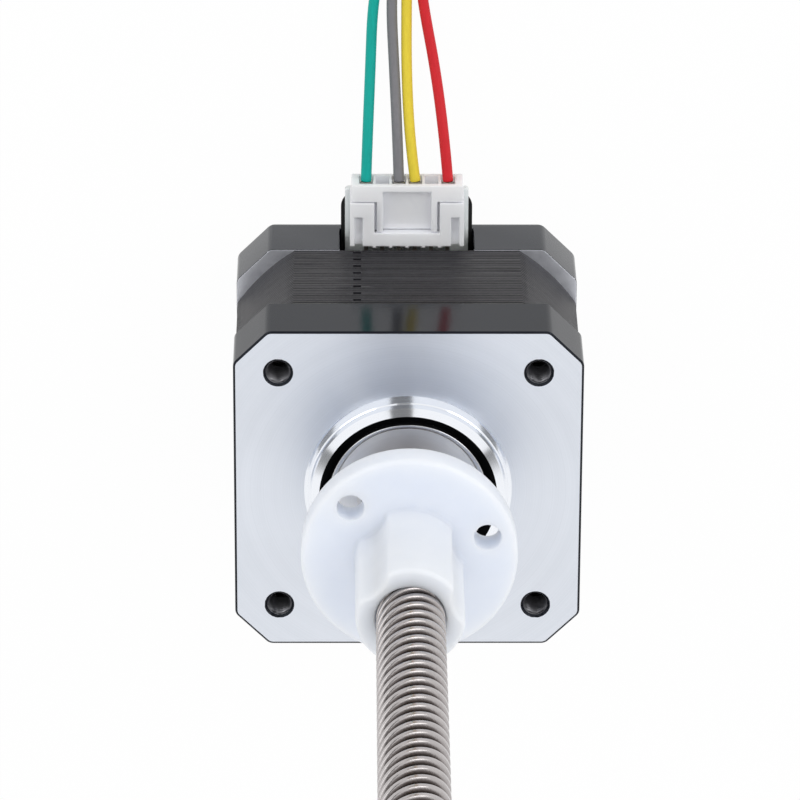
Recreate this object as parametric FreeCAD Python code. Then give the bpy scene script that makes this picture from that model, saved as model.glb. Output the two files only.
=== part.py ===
import FreeCAD, Part
import math
import os

# A linear stepper motor: a square hybrid stepper whose shaft is a four-start trapezoidal lead screw,
# with a flanged plastic nut on the screw and a four-wire lead set plugged in at the rear of the body.
# Frame: +Z along the screw, away from the motor. The origin is on the screw's axis, in the plane of
# the machined front face. +Y points to the side that the connector is on. All sizes are millimetres.

# Motor body
frame_width = 41.7  # across the flats of both covers
corner_cut = 4.1  # the covers' corner bevel, along each side
side_edge_radius = 1.2  # rounding of the covers' upright edges
front_cover_depth = 8.1
stack_depth = 15.9
rear_cover_depth = 9.0
face_bevel = 0.15  # broken edge round the machined face
rear_edge_radius = 1.6
hole_inset = 5.35  # tapped holes to the body's sides
tap_radius = 1.5
tap_mouth = 0.3  # countersink at the mouth of a tapped hole
tap_depth = 4.5  # free depth of a tapped hole
tap_grip = 0.25  # below that the hole keeps its drilled size, this much closer, round the screw's core

# Pilot boss on the front cover
pilot_radius = 12.0
pilot_height = 1.1
boss_radius = 11.6
boss_height = 2.0
boss_bevel = 0.15
bearing_bevel = 1.16  # black bevel round the bearing

# Ball bearings
front_bearing_outer = 9.5
front_bearing_width = 6.0
front_bearing_sink = 0.1  # below the boss's rim
rear_bearing_outer = 8.0
rear_bearing_bore = 2.5
rear_bearing_width = 5.0
race_wall = 1.5  # each ring, at its land
rim_wall = 0.5  # outer ring beside the shield
shield_thick = 0.4
shield_sink = 0.3
shield_gap = 0.15  # shield to inner ring
ball_radius = 1.5
ball_gap = 0.2  # ball to race, each side
ball_count = 7
bearing_lip = 1.5  # shoulder that the outer ring sits against, radially
lip_thick = 1.0
washer_height = 0.5  # wave washer, squeezed
washer_thick = 0.25
washer_wall = 1.6
wave_count = 3

# Stator
stack_inset = 0.1  # sheets stand this far inside the covers' flats
stack_corner = 4.6  # round corners of the sheets, inside the body's square corners
yoke_back = 3.25  # body's side to the winding slots
slot_depth = 4.8  # winding slots, down to the poles' shoes
shoe_thick = 1.0  # behind the teeth
pole_count = 8
neck_width = 4.6
pole_teeth = 6
tooth_pitch = 7.2  # degrees
tooth_gap = 0.7
tooth_depth = 0.7
slot_opening = 1.0
screw_clearance = 0.2  # radially, through screw in stack and rear cover
notch_offset = 6.1  # from the middle of a side
notch_width = 0.95
notch_depth = 0.8
sheet_thick = 0.5
sheet_turns = 4  # sheets are turned a quarter each, so a notch comes back after four
plain_sheets = 2  # in front of the first notch

# Windings and their insulators
liner = 0.6  # insulator on the stack's end faces
liner_side = 0.4  # insulator beside a pole's neck
insulator_wall = 1.0
insulator_height = 3.0
insulator_inner_height = 2.6
winding_thick = 1.2
winding_rise = 1.9  # above the liner
winding_radius = 0.9
winding_gap = 0.2  # winding to pole shoe
cavity_gap = 0.5  # insulator to the front cover's roof
rear_floor = 2.6  # rear cover's floor
rear_seat_floor = 0.9  # under the wave washer
seat_wall = 1.6  # round the rear bearing
rear_seat_drop = 0.7  # rim of the rear bearing's seat, below the bearing's top
rear_hole_radius = 4.0

# Rotor
air_gap = 0.1
rotor_teeth = 50
rotor_tooth_share = 0.42  # of the tooth pitch
rotor_inset = 0.5  # rotor ends, inside the stack's
magnet_thick = 1.5
magnet_inset = 1.3  # below the roots of the cups' teeth
spacer_wall = 1.4

# Lead screw
screw_radius = 4.0
screw_reach = 100.0  # front face to tip
screw_bevel = 1.0
journal_end = 0.6  # above the rear face
journal_bevel = 0.4

# Lead nut
nut_place = 14.3  # front face to the nut's flange
nut_length = 19.05
nut_flange_radius = 12.7
nut_flange_thick = 3.75
nut_boss_radius = 6.35
nut_hole_circle = 9.525  # radius of the circle that the holes are on
nut_hole_radius = 1.6
nut_hole_count = 3
nut_first_hole = 16.5  # degrees from +X
nut_hollow_radius = 4.3  # round hollows in the boss, about the holes
nut_rib_radius = 1.0
nut_edge_radius = 0.6
nut_bore_gap = 0.08  # radially, on the screw
nut_bore_bevel = 0.15

# Through screws
screw_head_radius = 2.75
screw_head_height = 1.9
screw_head_gap = 0.25
screw_head_sink = 0.5
screw_shank_gap = 0.05
screw_tip_drop = 0.3  # below the free depth of the tapped hole
screw_tip_bevel = 0.5
hex_socket = 2.0  # across flats
hex_depth = 1.2

# Connector: header, board, sheet and plug
way_pitch = 2.0
ways = 6
used_ways = (0, 2, 3, 5)
header_end = 1.975  # outermost way to the header's side
header_stand = 0.25  # body's side to the header's back
header_depth = 6.1
header_height = 4.8
header_wall_back = 1.7
header_wall_side = 1.0
header_wall_top = 0.8
header_wall_bottom = 0.6
header_rib_width = 0.45  # ribs on the header's back, between the ways
header_rib_height = 0.2
tower_width = 3.0  # each of the header's two roofed ends
tower_setback = 0.42  # behind the header's front
tower_slot_edge = 0.57  # slot to the header's side
tower_slot_width = 1.0
tower_slot_length = 3.8
tower_slot_depth = 0.6
board_thick = 1.0
board_margin = 0.6  # beside the header
board_gap = 1.6  # to the rear bearing's seat
board_setback = 0.45  # behind the header's front
board_corner = 0.4
sheet_film = 0.2
sheet_margin = 0.5  # beside the board
sheet_setback = 0.8  # behind the board's front
sheet_corner = 2.0
window_gap = 0.15  # rear cover's window to the sheet, each side
pin_width = 0.5
pin_height = 2.4  # middle of a pin, above the board
pin_tail = 2.1  # legs of the pins, behind the header
pin_reach = 3.0  # past the header's back wall
plug_gap = 0.1  # plug to header, each side
plug_tail = 1.85  # past the header's front
plug_shoulder_inset = 0.175  # inside the header's sides
plug_rib_gap = 0.3  # rib to the header's roofed end
plug_rib_width = 0.72
plug_panel_sink = 1.0
plug_panel_wall = 0.35  # sunk panel, above the wires' ways
plug_bar = 0.85  # upright bar behind the sunk panel
plug_mouth_wall = 0.8  # above the mouths in the plug's end
plug_face_wall = 0.5
plug_cavity_width = 1.66
pin_hole = 0.8
terminal_width = 1.4
terminal_bore = 0.8
terminal_inset = 2.45  # end of a terminal's box, inside the plug's end
wire_inset = 0.2  # foot of a wire, inside the plug's end
barrel_radius = 0.76

# Lead set
wire_diameter = 1.3
coil_x = -5.0
coil_y = 82.5
coil_inner = 13.35
coil_outer = 23.15
coil_height = 3.25
coil_edge_radius = 1.2
tie_thick = 0.55
tie_width = 2.4
tie_head_length = 3.2
tie_head_width = 3.8
tie_head_height = 2.4
far_plug_length = 8.5
far_plug_width = 12.4
far_plug_thick = 5.0
far_way_pitch = 2.5
far_wall = 0.7
far_cavity_width = 1.9
far_key_width = 2.4
far_key_height = 0.6
far_plug_x = -2.3  # the face that the wires go in at
far_plug_y = 87.42

# Levels that follow from the sizes above
stack_front = -front_cover_depth
stack_rear = stack_front - stack_depth
rear_face = stack_rear - rear_cover_depth
body_side = frame_width / 2
hole_place = body_side - hole_inset
grip_radius = tap_radius - tap_grip
stack_round = body_side * math.sqrt(2) - stack_corner
yoke_radius = body_side - yoke_back
shoe_radius = yoke_radius - slot_depth
stator_bore = shoe_radius - shoe_thick - tooth_depth
cavity_radius = yoke_radius + insulator_wall + liner_side
cavity_roof = stack_front + insulator_height + cavity_gap
front_bearing_top = boss_height - front_bearing_sink
front_bearing_low = front_bearing_top - front_bearing_width
rear_seat = rear_face + rear_seat_floor
rear_bearing_low = rear_seat + washer_height
rear_bearing_top = rear_bearing_low + rear_bearing_width
rotor_radius = stator_bore - air_gap
rotor_root = rotor_radius - tooth_depth
rotor_front = stack_front - rotor_inset
rotor_rear = stack_rear + rotor_inset
magnet_front = (rotor_front + rotor_rear + magnet_thick) / 2
magnet_rear = magnet_front - magnet_thick
header_back = body_side + header_stand
header_front = header_back + header_depth
header_half = (ways - 1) * way_pitch / 2 + header_end
tower_inner = header_half - tower_width
board_half = header_half + board_margin
board_inner = rear_bearing_outer + seat_wall + board_gap
board_front = header_front - board_setback
board_bottom = rear_face + rear_floor + sheet_film
board_top = board_bottom + board_thick
sheet_half = board_half + sheet_margin
header_top = board_top + header_height
plug_end = header_front + plug_tail
wire_start = plug_end - wire_inset
wire_level = board_top + pin_height

# The wires' routes, from the plug to the coil
lead_routes = {
    "green": [
        (-5.0, wire_start, wire_level), (-4.85, 33.6, -27.4), (-4.5, 41.5, -30.8), (-4.2, 50.2, -32.3),
        (-2.93, 56.53, -32.25), (0.75, 61.7, -32.0), (5.41, 64.46, -31.52),
    ],
    "grey": [
        (-1.0, wire_start, wire_level), (-1.15, 33.6, -27.4), (-1.55, 41.5, -30.8), (-2.0, 50.2, -32.2),
        (-1.53, 56.18, -31.6), (1.06, 61.45, -30.65), (5.41, 64.46, -30.18),
    ],
    "yellow": [
        (1.0, wire_start, wire_level), (0.35, 33.6, -27.4), (-0.1, 41.5, -30.8), (-0.1, 50.2, -32.2),
        (-0.07, 55.82, -31.6), (2.14, 60.55, -30.65), (6.09, 63.3, -30.18),
    ],
    "red": [
        (5.0, wire_start, wire_level), (4.6, 33.6, -27.4), (3.5, 41.5, -30.8), (1.83, 50.2, -32.3),
        (1.33, 55.47, -32.25), (2.45, 60.3, -32.0), (6.09, 63.3, -31.52),
    ],
}

# The wires' routes, from the coil to the far plug
tail_routes = {
    "green": [
        (2.17, 70.09, -31.52), (5.55, 74.57, -31.5), (5.14, 79.81, -31.2), (1.78, 83.14, -30.8),
        (far_plug_x, 83.67, -30.5),
    ],
    "grey": [
        (2.17, 70.09, -30.18), (5.92, 74.41, -30.2), (6.15, 80.08, -30.3), (2.87, 84.56, -30.45),
        (far_plug_x, 86.17, -30.5),
    ],
    "yellow": [
        (2.84, 68.93, -30.18), (7.22, 73.88, -30.2), (7.79, 80.52, -30.3), (4.21, 86.31, -30.45),
        (far_plug_x, 88.67, -30.5),
    ],
    "red": [
        (2.84, 68.93, -31.52), (7.59, 73.73, -31.5), (8.81, 80.8, -31.2), (5.31, 87.74, -30.8),
        (far_plug_x, 91.17, -30.5),
    ],
}

spare = 1.0  # how far a cutting shape runs past the face that it opens


# Basic shapes
def vec(x, y, z):
    return FreeCAD.Vector(x, y, z)


def block(x_low, x_high, y_low, y_high, z_low, z_high):
    return Part.makeBox(x_high - x_low, y_high - y_low, z_high - z_low, vec(x_low, y_low, z_low))


def cylinder(radius, z_low, z_high, x=0.0, y=0.0):
    return Part.makeCylinder(radius, z_high - z_low, vec(x, y, z_low))


def rod_along_y(radius, y_low, y_high, x, z):
    return Part.makeCylinder(radius, y_high - y_low, vec(x, y_low, z), vec(0, 1, 0))


def ring(outer, inner, z_low, z_high):
    return cylinder(outer, z_low, z_high).cut(cylinder(inner, z_low - spare, z_high + spare))


def turned(profile):
    """A solid of revolution about Z, from (radius, height) corners."""
    corners = [vec(radius, 0, height) for radius, height in profile]
    face = Part.Face(Part.makePolygon(corners + corners[:1]))
    return face.revolve(vec(0, 0, 0), vec(0, 0, 1), 360)


def prism(outline, z_low, z_high):
    """An upright solid on a flat outline of (x, y) corners."""
    corners = [vec(x, y, z_low) for x, y in outline]
    return Part.Face(Part.makePolygon(corners + corners[:1])).extrude(vec(0, 0, z_high - z_low))


def spun(shape, angle, x=0.0, y=0.0):
    copy = shape.copy()
    copy.rotate(vec(x, y, 0), vec(0, 0, 1), angle)
    return copy


def around(shape, count, first=0.0):
    return [spun(shape, first + 360.0 * k / count) for k in range(count)]


def polar(radius, degrees):
    return radius * math.cos(math.radians(degrees)), radius * math.sin(math.radians(degrees))


def edges_at(shape, test):
    """The edges whose every vertex passes a test."""
    return [edge for edge in shape.Edges if all(test(v.Point) for v in edge.Vertexes)]


def upright(shape):
    """The straight edges that run along Z."""
    found = []
    for edge in shape.Edges:
        ends = [v.Point for v in edge.Vertexes]
        if len(ends) == 2 and (ends[0] - ends[1]).cross(vec(0, 0, 1)).Length < 1e-6:
            found.append(edge)
    return found


def corner_places():
    return [(x, y) for x in (-hole_place, hole_place) for y in (-hole_place, hole_place)]


def way_x(way):
    return (way - (ways - 1) / 2) * way_pitch


# Motor body
def cover_blank(z_low, z_high):
    """A square block with bevelled corners and rounded upright edges."""
    half = body_side
    near = half - corner_cut
    outline = [
        (near, -half), (half, -near), (half, near), (near, half),
        (-near, half), (-half, near), (-half, -near), (-near, -half),
    ]
    blank = prism(outline, z_low, z_high)
    return blank.makeFillet(side_edge_radius, upright(blank))


def front_cover():
    blank = cover_blank(stack_front, 0)
    blank = blank.makeChamfer(face_bevel, edges_at(blank, lambda p: abs(p.z) < 1e-6))
    boss = turned([
        (0, stack_front / 2), (pilot_radius, stack_front / 2), (pilot_radius, pilot_height - boss_bevel),
        (pilot_radius - boss_bevel, pilot_height), (boss_radius, pilot_height),
        (boss_radius, boss_height - boss_bevel), (boss_radius - boss_bevel, boss_height), (0, boss_height),
    ])
    seat_outer = front_bearing_outer + bearing_lip
    lip_radius = front_bearing_outer - bearing_lip
    lip_low = front_bearing_low - lip_thick
    hollow = turned([
        (0, stack_front - spare), (cavity_radius, stack_front - spare), (cavity_radius, cavity_roof),
        (seat_outer, cavity_roof), (seat_outer, lip_low), (lip_radius, lip_low),
        (lip_radius, front_bearing_low), (front_bearing_outer, front_bearing_low),
        (front_bearing_outer, boss_height - bearing_bevel),
        (front_bearing_outer + bearing_bevel + spare, boss_height + spare), (0, boss_height + spare),
    ])
    mouth_top = tap_radius + tap_mouth
    hole = turned([
        (0, stack_front - spare), (grip_radius, stack_front - spare), (grip_radius, -tap_depth),
        (tap_radius, -tap_depth), (tap_radius, -tap_mouth), (mouth_top, 0), (mouth_top, spare), (0, spare),
    ])
    holes = [hole.translated(vec(x, y, 0)) for x, y in corner_places()]
    return blank.fuse(boss).cut([hollow] + holes).removeSplitter()


def rear_cover():
    blank = cover_blank(rear_face, stack_rear)
    blank = blank.makeFillet(rear_edge_radius, edges_at(blank, lambda p: abs(p.z - rear_face) < 1e-6))
    floor = rear_face + rear_floor
    seat_top = rear_bearing_top - rear_seat_drop
    hollow = turned([
        (0, stack_rear + spare), (cavity_radius, stack_rear + spare), (cavity_radius, floor),
        (rear_bearing_outer + seat_wall, floor), (rear_bearing_outer + seat_wall, seat_top),
        (rear_bearing_outer, seat_top), (rear_bearing_outer, rear_seat), (rear_hole_radius, rear_seat),
        (rear_hole_radius, rear_face - spare), (0, rear_face - spare),
    ])
    window_half = sheet_half + window_gap
    window = block(-window_half, window_half, board_inner, body_side + spare, floor, stack_rear + spare)
    seat = cylinder(rear_bearing_outer + seat_wall, floor, seat_top)
    shank = tap_radius + screw_clearance
    head = screw_head_radius + screw_head_gap
    head_floor = rear_face + screw_head_height + screw_head_sink
    hole = cylinder(shank, rear_face - spare, stack_rear + spare)
    hole = hole.fuse(cylinder(head, rear_face - spare, head_floor))
    holes = [hole.translated(vec(x, y, 0)) for x, y in corner_places()]
    return blank.cut([hollow, window.cut(seat)] + holes).removeSplitter()


def through_screws():
    """Four long screws from the rear cover's counterbores to the front cover's tapped holes."""
    head_low = rear_face + screw_head_sink
    head_top = head_low + screw_head_height
    shank = grip_radius - screw_shank_gap
    tip = -tap_depth - screw_tip_drop
    screw = turned([
        (0, head_low), (screw_head_radius, head_low), (screw_head_radius, head_top), (shank, head_top),
        (shank, tip - screw_tip_bevel), (shank - screw_tip_bevel, tip), (0, tip),
    ])
    across = hex_socket / math.sqrt(3)
    socket = prism([polar(across, 60 * k) for k in range(6)], head_low - spare, head_low + hex_depth)
    screw = screw.cut(socket)
    return Part.makeCompound([screw.translated(vec(x, y, 0)) for x, y in corner_places()])


# Bearings
def bearing(outer, bore, z_low, width):
    """Outer ring, inner ring, balls and shields of a shielded ball bearing."""
    z_high = z_low + width
    middle = (z_low + z_high) / 2
    pitch = (outer + bore) / 2
    land = outer - race_wall
    shield_radius = outer - rim_wall
    seat_low = z_low + shield_sink + shield_thick
    seat_high = z_high - shield_sink - shield_thick
    groove = Part.makeTorus(pitch, ball_radius + ball_gap, vec(0, 0, middle))
    outer_ring = turned([
        (shield_radius, z_low), (outer, z_low), (outer, z_high), (shield_radius, z_high),
        (shield_radius, seat_high), (land, seat_high), (land, seat_low), (shield_radius, seat_low),
    ])
    inner_land = bore + race_wall
    inner_ring = ring(inner_land, bore, z_low, z_high)
    ball = Part.makeSphere(ball_radius, vec(pitch, 0, middle))
    shield_hole = inner_land + shield_gap
    shields = [
        ring(shield_radius, shield_hole, z_low + shield_sink, seat_low),
        ring(shield_radius, shield_hole, seat_high, z_high - shield_sink),
    ]
    return {
        "outer_ring": outer_ring.cut(groove),
        "inner_ring": inner_ring.cut(groove),
        "balls": Part.makeCompound(around(ball, ball_count)),
        "shields": Part.makeCompound(shields),
    }


def wave_washer():
    """A thin ring that rises and falls, squeezed between the rear bearing and its seat."""
    rise = (washer_height - washer_thick) / 2
    middle = rear_seat + rise
    rims = []
    for radius in (rear_bearing_outer - shield_gap, rear_bearing_outer - washer_wall):
        points = []
        for k in range(8 * wave_count):
            angle = 360.0 * k / (8 * wave_count)
            x, y = polar(radius, angle)
            points.append(vec(x, y, middle + rise * math.cos(math.radians(wave_count * angle))))
        curve = Part.BSplineCurve()
        curve.interpolate(points, PeriodicFlag=True)
        rims.append(curve.toShape())
    return Part.makeRuledSurface(rims[1], rims[0]).extrude(vec(0, 0, washer_thick))


# Stator
def pole_necks(width, inner, outer, z_low, z_high):
    return around(block(inner, outer, -width / 2, width / 2, z_low, z_high), pole_count)


def half_angle(width, radius):
    """Half of the angle that a straight width takes up on a circle, in degrees."""
    return math.degrees(math.asin(width / 2 / radius))


def axis_arc(radius, first, last, z):
    """An arc about the screw's axis."""
    ends = [vec(*polar(radius, angle), z) for angle in (first, (first + last) / 2, last)]
    return Part.Arc(*ends).toShape()


def flat_edges(places, z):
    """Straight edges from one (radius, degrees) place to the next."""
    ends = [vec(*polar(radius, angle), z) for radius, angle in places]
    return [Part.LineSegment(first, last).toShape() for first, last in zip(ends, ends[1:])]


def pole_edges(middle, z):
    """The inner outline of one toothed pole, from the yoke to the next pole's neck."""
    at_yoke = half_angle(neck_width, yoke_radius)
    at_shoe = half_angle(neck_width, shoe_radius)
    half_shoe = 180.0 / pole_count - half_angle(slot_opening, stator_bore)
    root = stator_bore + tooth_depth
    tip_half = half_angle(tooth_gap, stator_bore)
    root_half = half_angle(tooth_gap, root)
    teeth = [(shoe_radius, -half_shoe), (stator_bore, -half_shoe)]
    for k in range(1, pole_teeth):
        gap = (k - pole_teeth / 2) * tooth_pitch
        teeth += [(stator_bore, gap - tip_half), (root, gap - root_half)]
        teeth += [(root, gap + root_half), (stator_bore, gap + tip_half)]
    teeth += [(stator_bore, half_shoe), (shoe_radius, half_shoe)]
    before = flat_edges([(yoke_radius, middle - at_yoke), (shoe_radius, middle - at_shoe)], z)
    after = flat_edges([(shoe_radius, middle + at_shoe), (yoke_radius, middle + at_yoke)], z)
    next_neck = middle + 360.0 / pole_count - at_yoke
    edges = before + [axis_arc(shoe_radius, middle - at_shoe, middle - half_shoe, z)]
    edges += flat_edges([(radius, middle + angle) for radius, angle in teeth], z)
    edges += [axis_arc(shoe_radius, middle + half_shoe, middle + at_shoe, z)] + after
    return edges + [axis_arc(yoke_radius, middle + at_yoke, next_neck, z)]


def stator_stack():
    """Square sheets with round corners, open in the middle round toothed poles."""
    half = body_side - stack_inset
    low = stack_rear - spare
    high = stack_front + spare
    outline = block(-half, half, -half, half, stack_rear, stack_front)
    outline = outline.common(cylinder(stack_round, stack_rear, stack_front))
    edges = []
    for k in range(pole_count):
        edges += pole_edges(360.0 * k / pole_count, low)
    middle = Part.Face(Part.Wire(edges)).extrude(vec(0, 0, high - low))
    holes = [cylinder(tap_radius + screw_clearance, low, high, x, y) for x, y in corner_places()]
    return outline.cut([middle] + holes + sheet_notches(half))


def sheet_notches(half):
    """Locating notches, one in every fourth sheet on each side, a sheet lower from side to side."""
    period = sheet_thick * sheet_turns
    left = -notch_offset - notch_width / 2
    right = left + notch_width
    notches = []
    for side in range(sheet_turns):
        first = sheet_thick * (plain_sheets + side)
        rows = 1 + int((stack_depth - first - sheet_thick) / period)
        for k in range(rows):
            top = stack_front - first - period * k
            notch = block(left, right, half - notch_depth, half + spare, top - sheet_thick, top)
            notches.append(spun(notch, -90 * side))
    return notches


def slot_insulator(face, outwards):
    """Moulded frame on one end of the stack: a wall outside, fingers on the poles, lips inside."""
    def level(height):
        return sorted((face, face + outwards * height))

    outer_wall = ring(yoke_radius + insulator_wall, yoke_radius, *level(insulator_height))
    lip_inner = shoe_radius - insulator_wall
    fingers = pole_necks(neck_width + 2 * liner_side, lip_inner, yoke_radius + liner_side, *level(liner))
    lip = ring(shoe_radius, lip_inner, *level(insulator_inner_height))
    room = neck_width + 2 * winding_thick
    sectors = pole_necks(room, lip_inner - spare, yoke_radius, *level(insulator_inner_height))
    lips = lip.common(Part.makeCompound(sectors))
    return outer_wall.fuse(fingers + lips.Solids).removeSplitter()


def windings(first):
    """Every other pole's coil of wire, as a rounded loop about the pole's neck."""
    inner = neck_width / 2 + liner_side
    outer = inner + winding_thick
    radial_low = shoe_radius + winding_gap
    radial_high = math.sqrt(yoke_radius ** 2 - outer ** 2) - winding_gap
    top = stack_front + liner
    low = stack_rear - liner
    loop = block(radial_low, radial_high, -outer, outer, low - winding_rise, top + winding_rise)
    along = [e for e in loop.Edges if abs((e.Vertexes[0].Point - e.Vertexes[1].Point).x) > 1e-6]
    loop = loop.makeFillet(winding_radius, along)
    loop = loop.cut(block(0, yoke_radius, -inner, inner, low, top))
    return Part.makeCompound([spun(loop, 360.0 * k / pole_count) for k in range(first, pole_count, 2)])


# Rotor
def toothed_cup(z_low, z_high, turn):
    """A toothed disc on the shaft. The two discs stand half a tooth apart."""
    pitch = 360.0 / rotor_teeth
    land = pitch * rotor_tooth_share / 2
    outline = []
    for k in range(rotor_teeth):
        middle = pitch * k + turn
        outline += [polar(rotor_root, middle - land), polar(rotor_radius, middle - land)]
        outline += [polar(rotor_radius, middle + land), polar(rotor_root, middle + land)]
    return prism(outline, z_low, z_high).cut(cylinder(screw_radius, z_low - spare, z_high + spare))


def lead_screw():
    """Screw and shaft in one: full diameter to the rear bearing, then a turned journal."""
    end = rear_face + journal_end
    journal = rear_bearing_bore
    return turned([
        (0, end), (journal - journal_bevel, end), (journal, end + journal_bevel),
        (journal, rear_bearing_top), (screw_radius, rear_bearing_top),
        (screw_radius, screw_reach - screw_bevel), (screw_radius - screw_bevel, screw_reach),
        (0, screw_reach),
    ])


def lead_nut():
    """Flange with three holes, and a boss with a round hollow over each hole."""
    top = nut_place + nut_length
    step = nut_place + nut_flange_thick
    turn = 360.0 / nut_hole_count
    places = [polar(nut_hole_circle, nut_first_hole + turn * k) for k in range(nut_hole_count)]
    boss = cylinder(nut_boss_radius, nut_place, top)
    boss = boss.cut([cylinder(nut_hollow_radius, step - spare, top + spare, x, y) for x, y in places])
    ribs = [e for e in upright(boss) if e.BoundBox.ZMax > top - 1e-6]
    boss = boss.makeFillet(nut_rib_radius, ribs)
    boss = boss.makeFillet(nut_edge_radius, edges_at(boss, lambda p: abs(p.z - top) < 1e-6))
    flange = cylinder(nut_flange_radius, nut_place, step)
    flange = flange.makeFillet(nut_edge_radius, flange.Edges[:1] + flange.Edges[2:])
    bore = screw_radius + nut_bore_gap
    mouth = bore + nut_bore_bevel
    hole = turned([
        (0, nut_place - spare), (mouth, nut_place - spare), (mouth, nut_place),
        (bore, nut_place + nut_bore_bevel), (bore, top - nut_bore_bevel),
        (mouth, top), (mouth, top + spare), (0, top + spare),
    ])
    screw_holes = [cylinder(nut_hole_radius, nut_place - spare, step + spare, x, y) for x, y in places]
    return flange.fuse(boss).cut([hole] + screw_holes).removeSplitter()


# Connector
def terminal_board():
    board = block(-board_half, board_half, board_inner, board_front, board_bottom, board_top)
    outer = [e for e in upright(board) if e.BoundBox.YMin > board_front - 1e-6]
    return board.makeFillet(board_corner, outer)


def board_insulator():
    front = board_front - sheet_setback
    sheet = block(-sheet_half, sheet_half, board_inner, front, board_bottom - sheet_film, board_bottom)
    outer = [e for e in upright(sheet) if e.BoundBox.YMin > front - 1e-6]
    return sheet.makeFillet(sheet_corner, outer)


def header_cavity(gap):
    """The space that the plug goes into, smaller by a gap all round."""
    half = header_half - header_wall_side - gap
    back = header_back + header_wall_back + gap
    return (-half, half, back, board_top + header_wall_bottom + gap, header_top - header_wall_top - gap)


def header_housing():
    half = header_half
    shell = block(-half, half, header_back, header_front, board_top, header_top)
    roof_low = header_top - header_wall_top
    shell = shell.cut(block(-half, half, header_front - tower_setback, header_front, roof_low, header_top))
    x_low, x_high, back, low, high = header_cavity(0)
    cavity = block(x_low, x_high, back, header_front + spare, low, high)
    window = block(-tower_inner, tower_inner, back, header_front + spare, low, header_top + spare)
    slot_outer = half - tower_slot_edge
    slot_inner = slot_outer - tower_slot_width
    slot_front = header_back + tower_slot_length
    slot_low = header_top - tower_slot_depth
    slots = []
    for x_low, x_high in ((-slot_outer, -slot_inner), (slot_inner, slot_outer)):
        slots.append(block(x_low, x_high, header_back - spare, slot_front, slot_low, header_top + spare))
    pins = [pin_bar(way, 0, header_back - spare, back + spare) for way in range(ways)]
    ribs = []
    for way in range(ways - 1):
        left = way_x(way) + (way_pitch - header_rib_width) / 2
        right = left + header_rib_width
        ribs.append(block(left, right, header_back - header_rib_height, header_back, board_top, header_top))
    return shell.cut([cavity, window] + slots + pins).fuse(ribs).removeSplitter()


def pin_bar(way, gap, y_low, y_high):
    half = pin_width / 2 + gap
    x = way_x(way)
    return block(x - half, x + half, y_low, y_high, wire_level - half, wire_level + half)


def header_pins():
    """Six square pins, bent down to the board behind the header."""
    half = pin_width / 2
    tail = header_back - pin_tail
    end = header_back + header_wall_back + pin_reach
    pins = []
    for way in range(ways):
        x = way_x(way)
        leg = block(x - half, x + half, tail, tail + pin_width, board_top, wire_level + half)
        pins.append(leg.fuse(pin_bar(way, 0, tail, end)).removeSplitter())
    return Part.makeCompound(pins)


def plug_housing():
    x_low, x_high, front, low, high = header_cavity(plug_gap)
    body = block(x_low, x_high, front, plug_end, low, high)
    rib_outer = tower_inner - plug_rib_gap
    rib_inner = rib_outer - plug_rib_width
    top = header_top - 2 * plug_gap
    ribbed = block(-rib_outer, rib_outer, front, plug_end, high - plug_gap, top)
    half = header_half - plug_shoulder_inset
    shoulder = block(-half, half, header_front + plug_gap, plug_end, low, top)
    tower_front = header_front - tower_setback
    roof_low = header_top - header_wall_top
    lip = block(-half, half, tower_front + plug_gap, plug_end, roof_low + plug_gap, top)
    bar_back = plug_end - plug_bar
    panel_top = top - plug_panel_sink
    cuts = [block(-rib_inner, rib_inner, front - spare, bar_back, panel_top, top + spare)]
    for way in range(ways):
        left = way_x(way) - plug_cavity_width / 2
        right = left + plug_cavity_width
        floor = low + plug_face_wall
        cuts.append(block(left, right, front + plug_face_wall, plug_end, floor, panel_top - plug_panel_wall))
        cuts.append(block(left, right, bar_back, plug_end + spare, floor, top - plug_mouth_wall))
        cuts.append(pin_bar(way, (pin_hole - pin_width) / 2, front - spare, front + spare))
    return body.fuse([ribbed, shoulder, lip]).cut(cuts).removeSplitter()


def crimp_terminals():
    """A box that grips the pin, and a barrel crimped on the wire."""
    half = terminal_width / 2
    front = header_back + header_wall_back + plug_gap + plug_face_wall
    end = plug_end - terminal_inset
    terminals = []
    for way in used_ways:
        x = way_x(way)
        box = block(x - half, x + half, front, end, wire_level - half, wire_level + half)
        box = box.cut(pin_bar(way, (terminal_bore - pin_width) / 2, front - spare, end - plug_face_wall))
        terminals.append(box.fuse(rod_along_y(barrel_radius, end, wire_start, x, wire_level)))
    return Part.makeCompound(terminals)


# Lead set
def cord_tube(name, points):
    """A round tube along straight runs joined by arcs as large as the runs allow."""
    corners = [vec(*p) for p in points]
    edges = []
    radii = []
    start = corners[0]
    for before, corner, after in zip(corners, corners[1:], corners[2:]):
        back = before - corner
        ahead = after - corner
        reach = 0.45 * min(back.Length, ahead.Length)
        turn = math.pi - back.getAngle(ahead)
        radius = reach / math.tan(turn / 2)
        back.normalize()
        ahead.normalize()
        inward = (back + ahead).normalize()
        middle = corner + inward * (radius / math.cos(turn / 2) - radius)
        first = corner + back * reach
        last = corner + ahead * reach
        edges.append(Part.LineSegment(start, first).toShape())
        edges.append(Part.Arc(first, middle, last).toShape())
        radii.append(radius)
        start = last
    edges.append(Part.LineSegment(start, corners[-1]).toShape())
    path = Part.Wire(edges)
    section = Part.Wire(Part.Circle(corners[0], corners[1] - corners[0], wire_diameter / 2).toShape())
    tube = path.makePipeShell([section], True, False)
    share = tube.Volume / (math.pi * wire_diameter ** 2 / 4 * path.Length)
    print(name, "length", round(path.Length, 1), "least radius", round(min(radii), 1))
    print(name, "volume, as a share of section times length", round(share, 4))
    return tube


def coil_low():
    return rear_face + tie_thick


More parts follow.
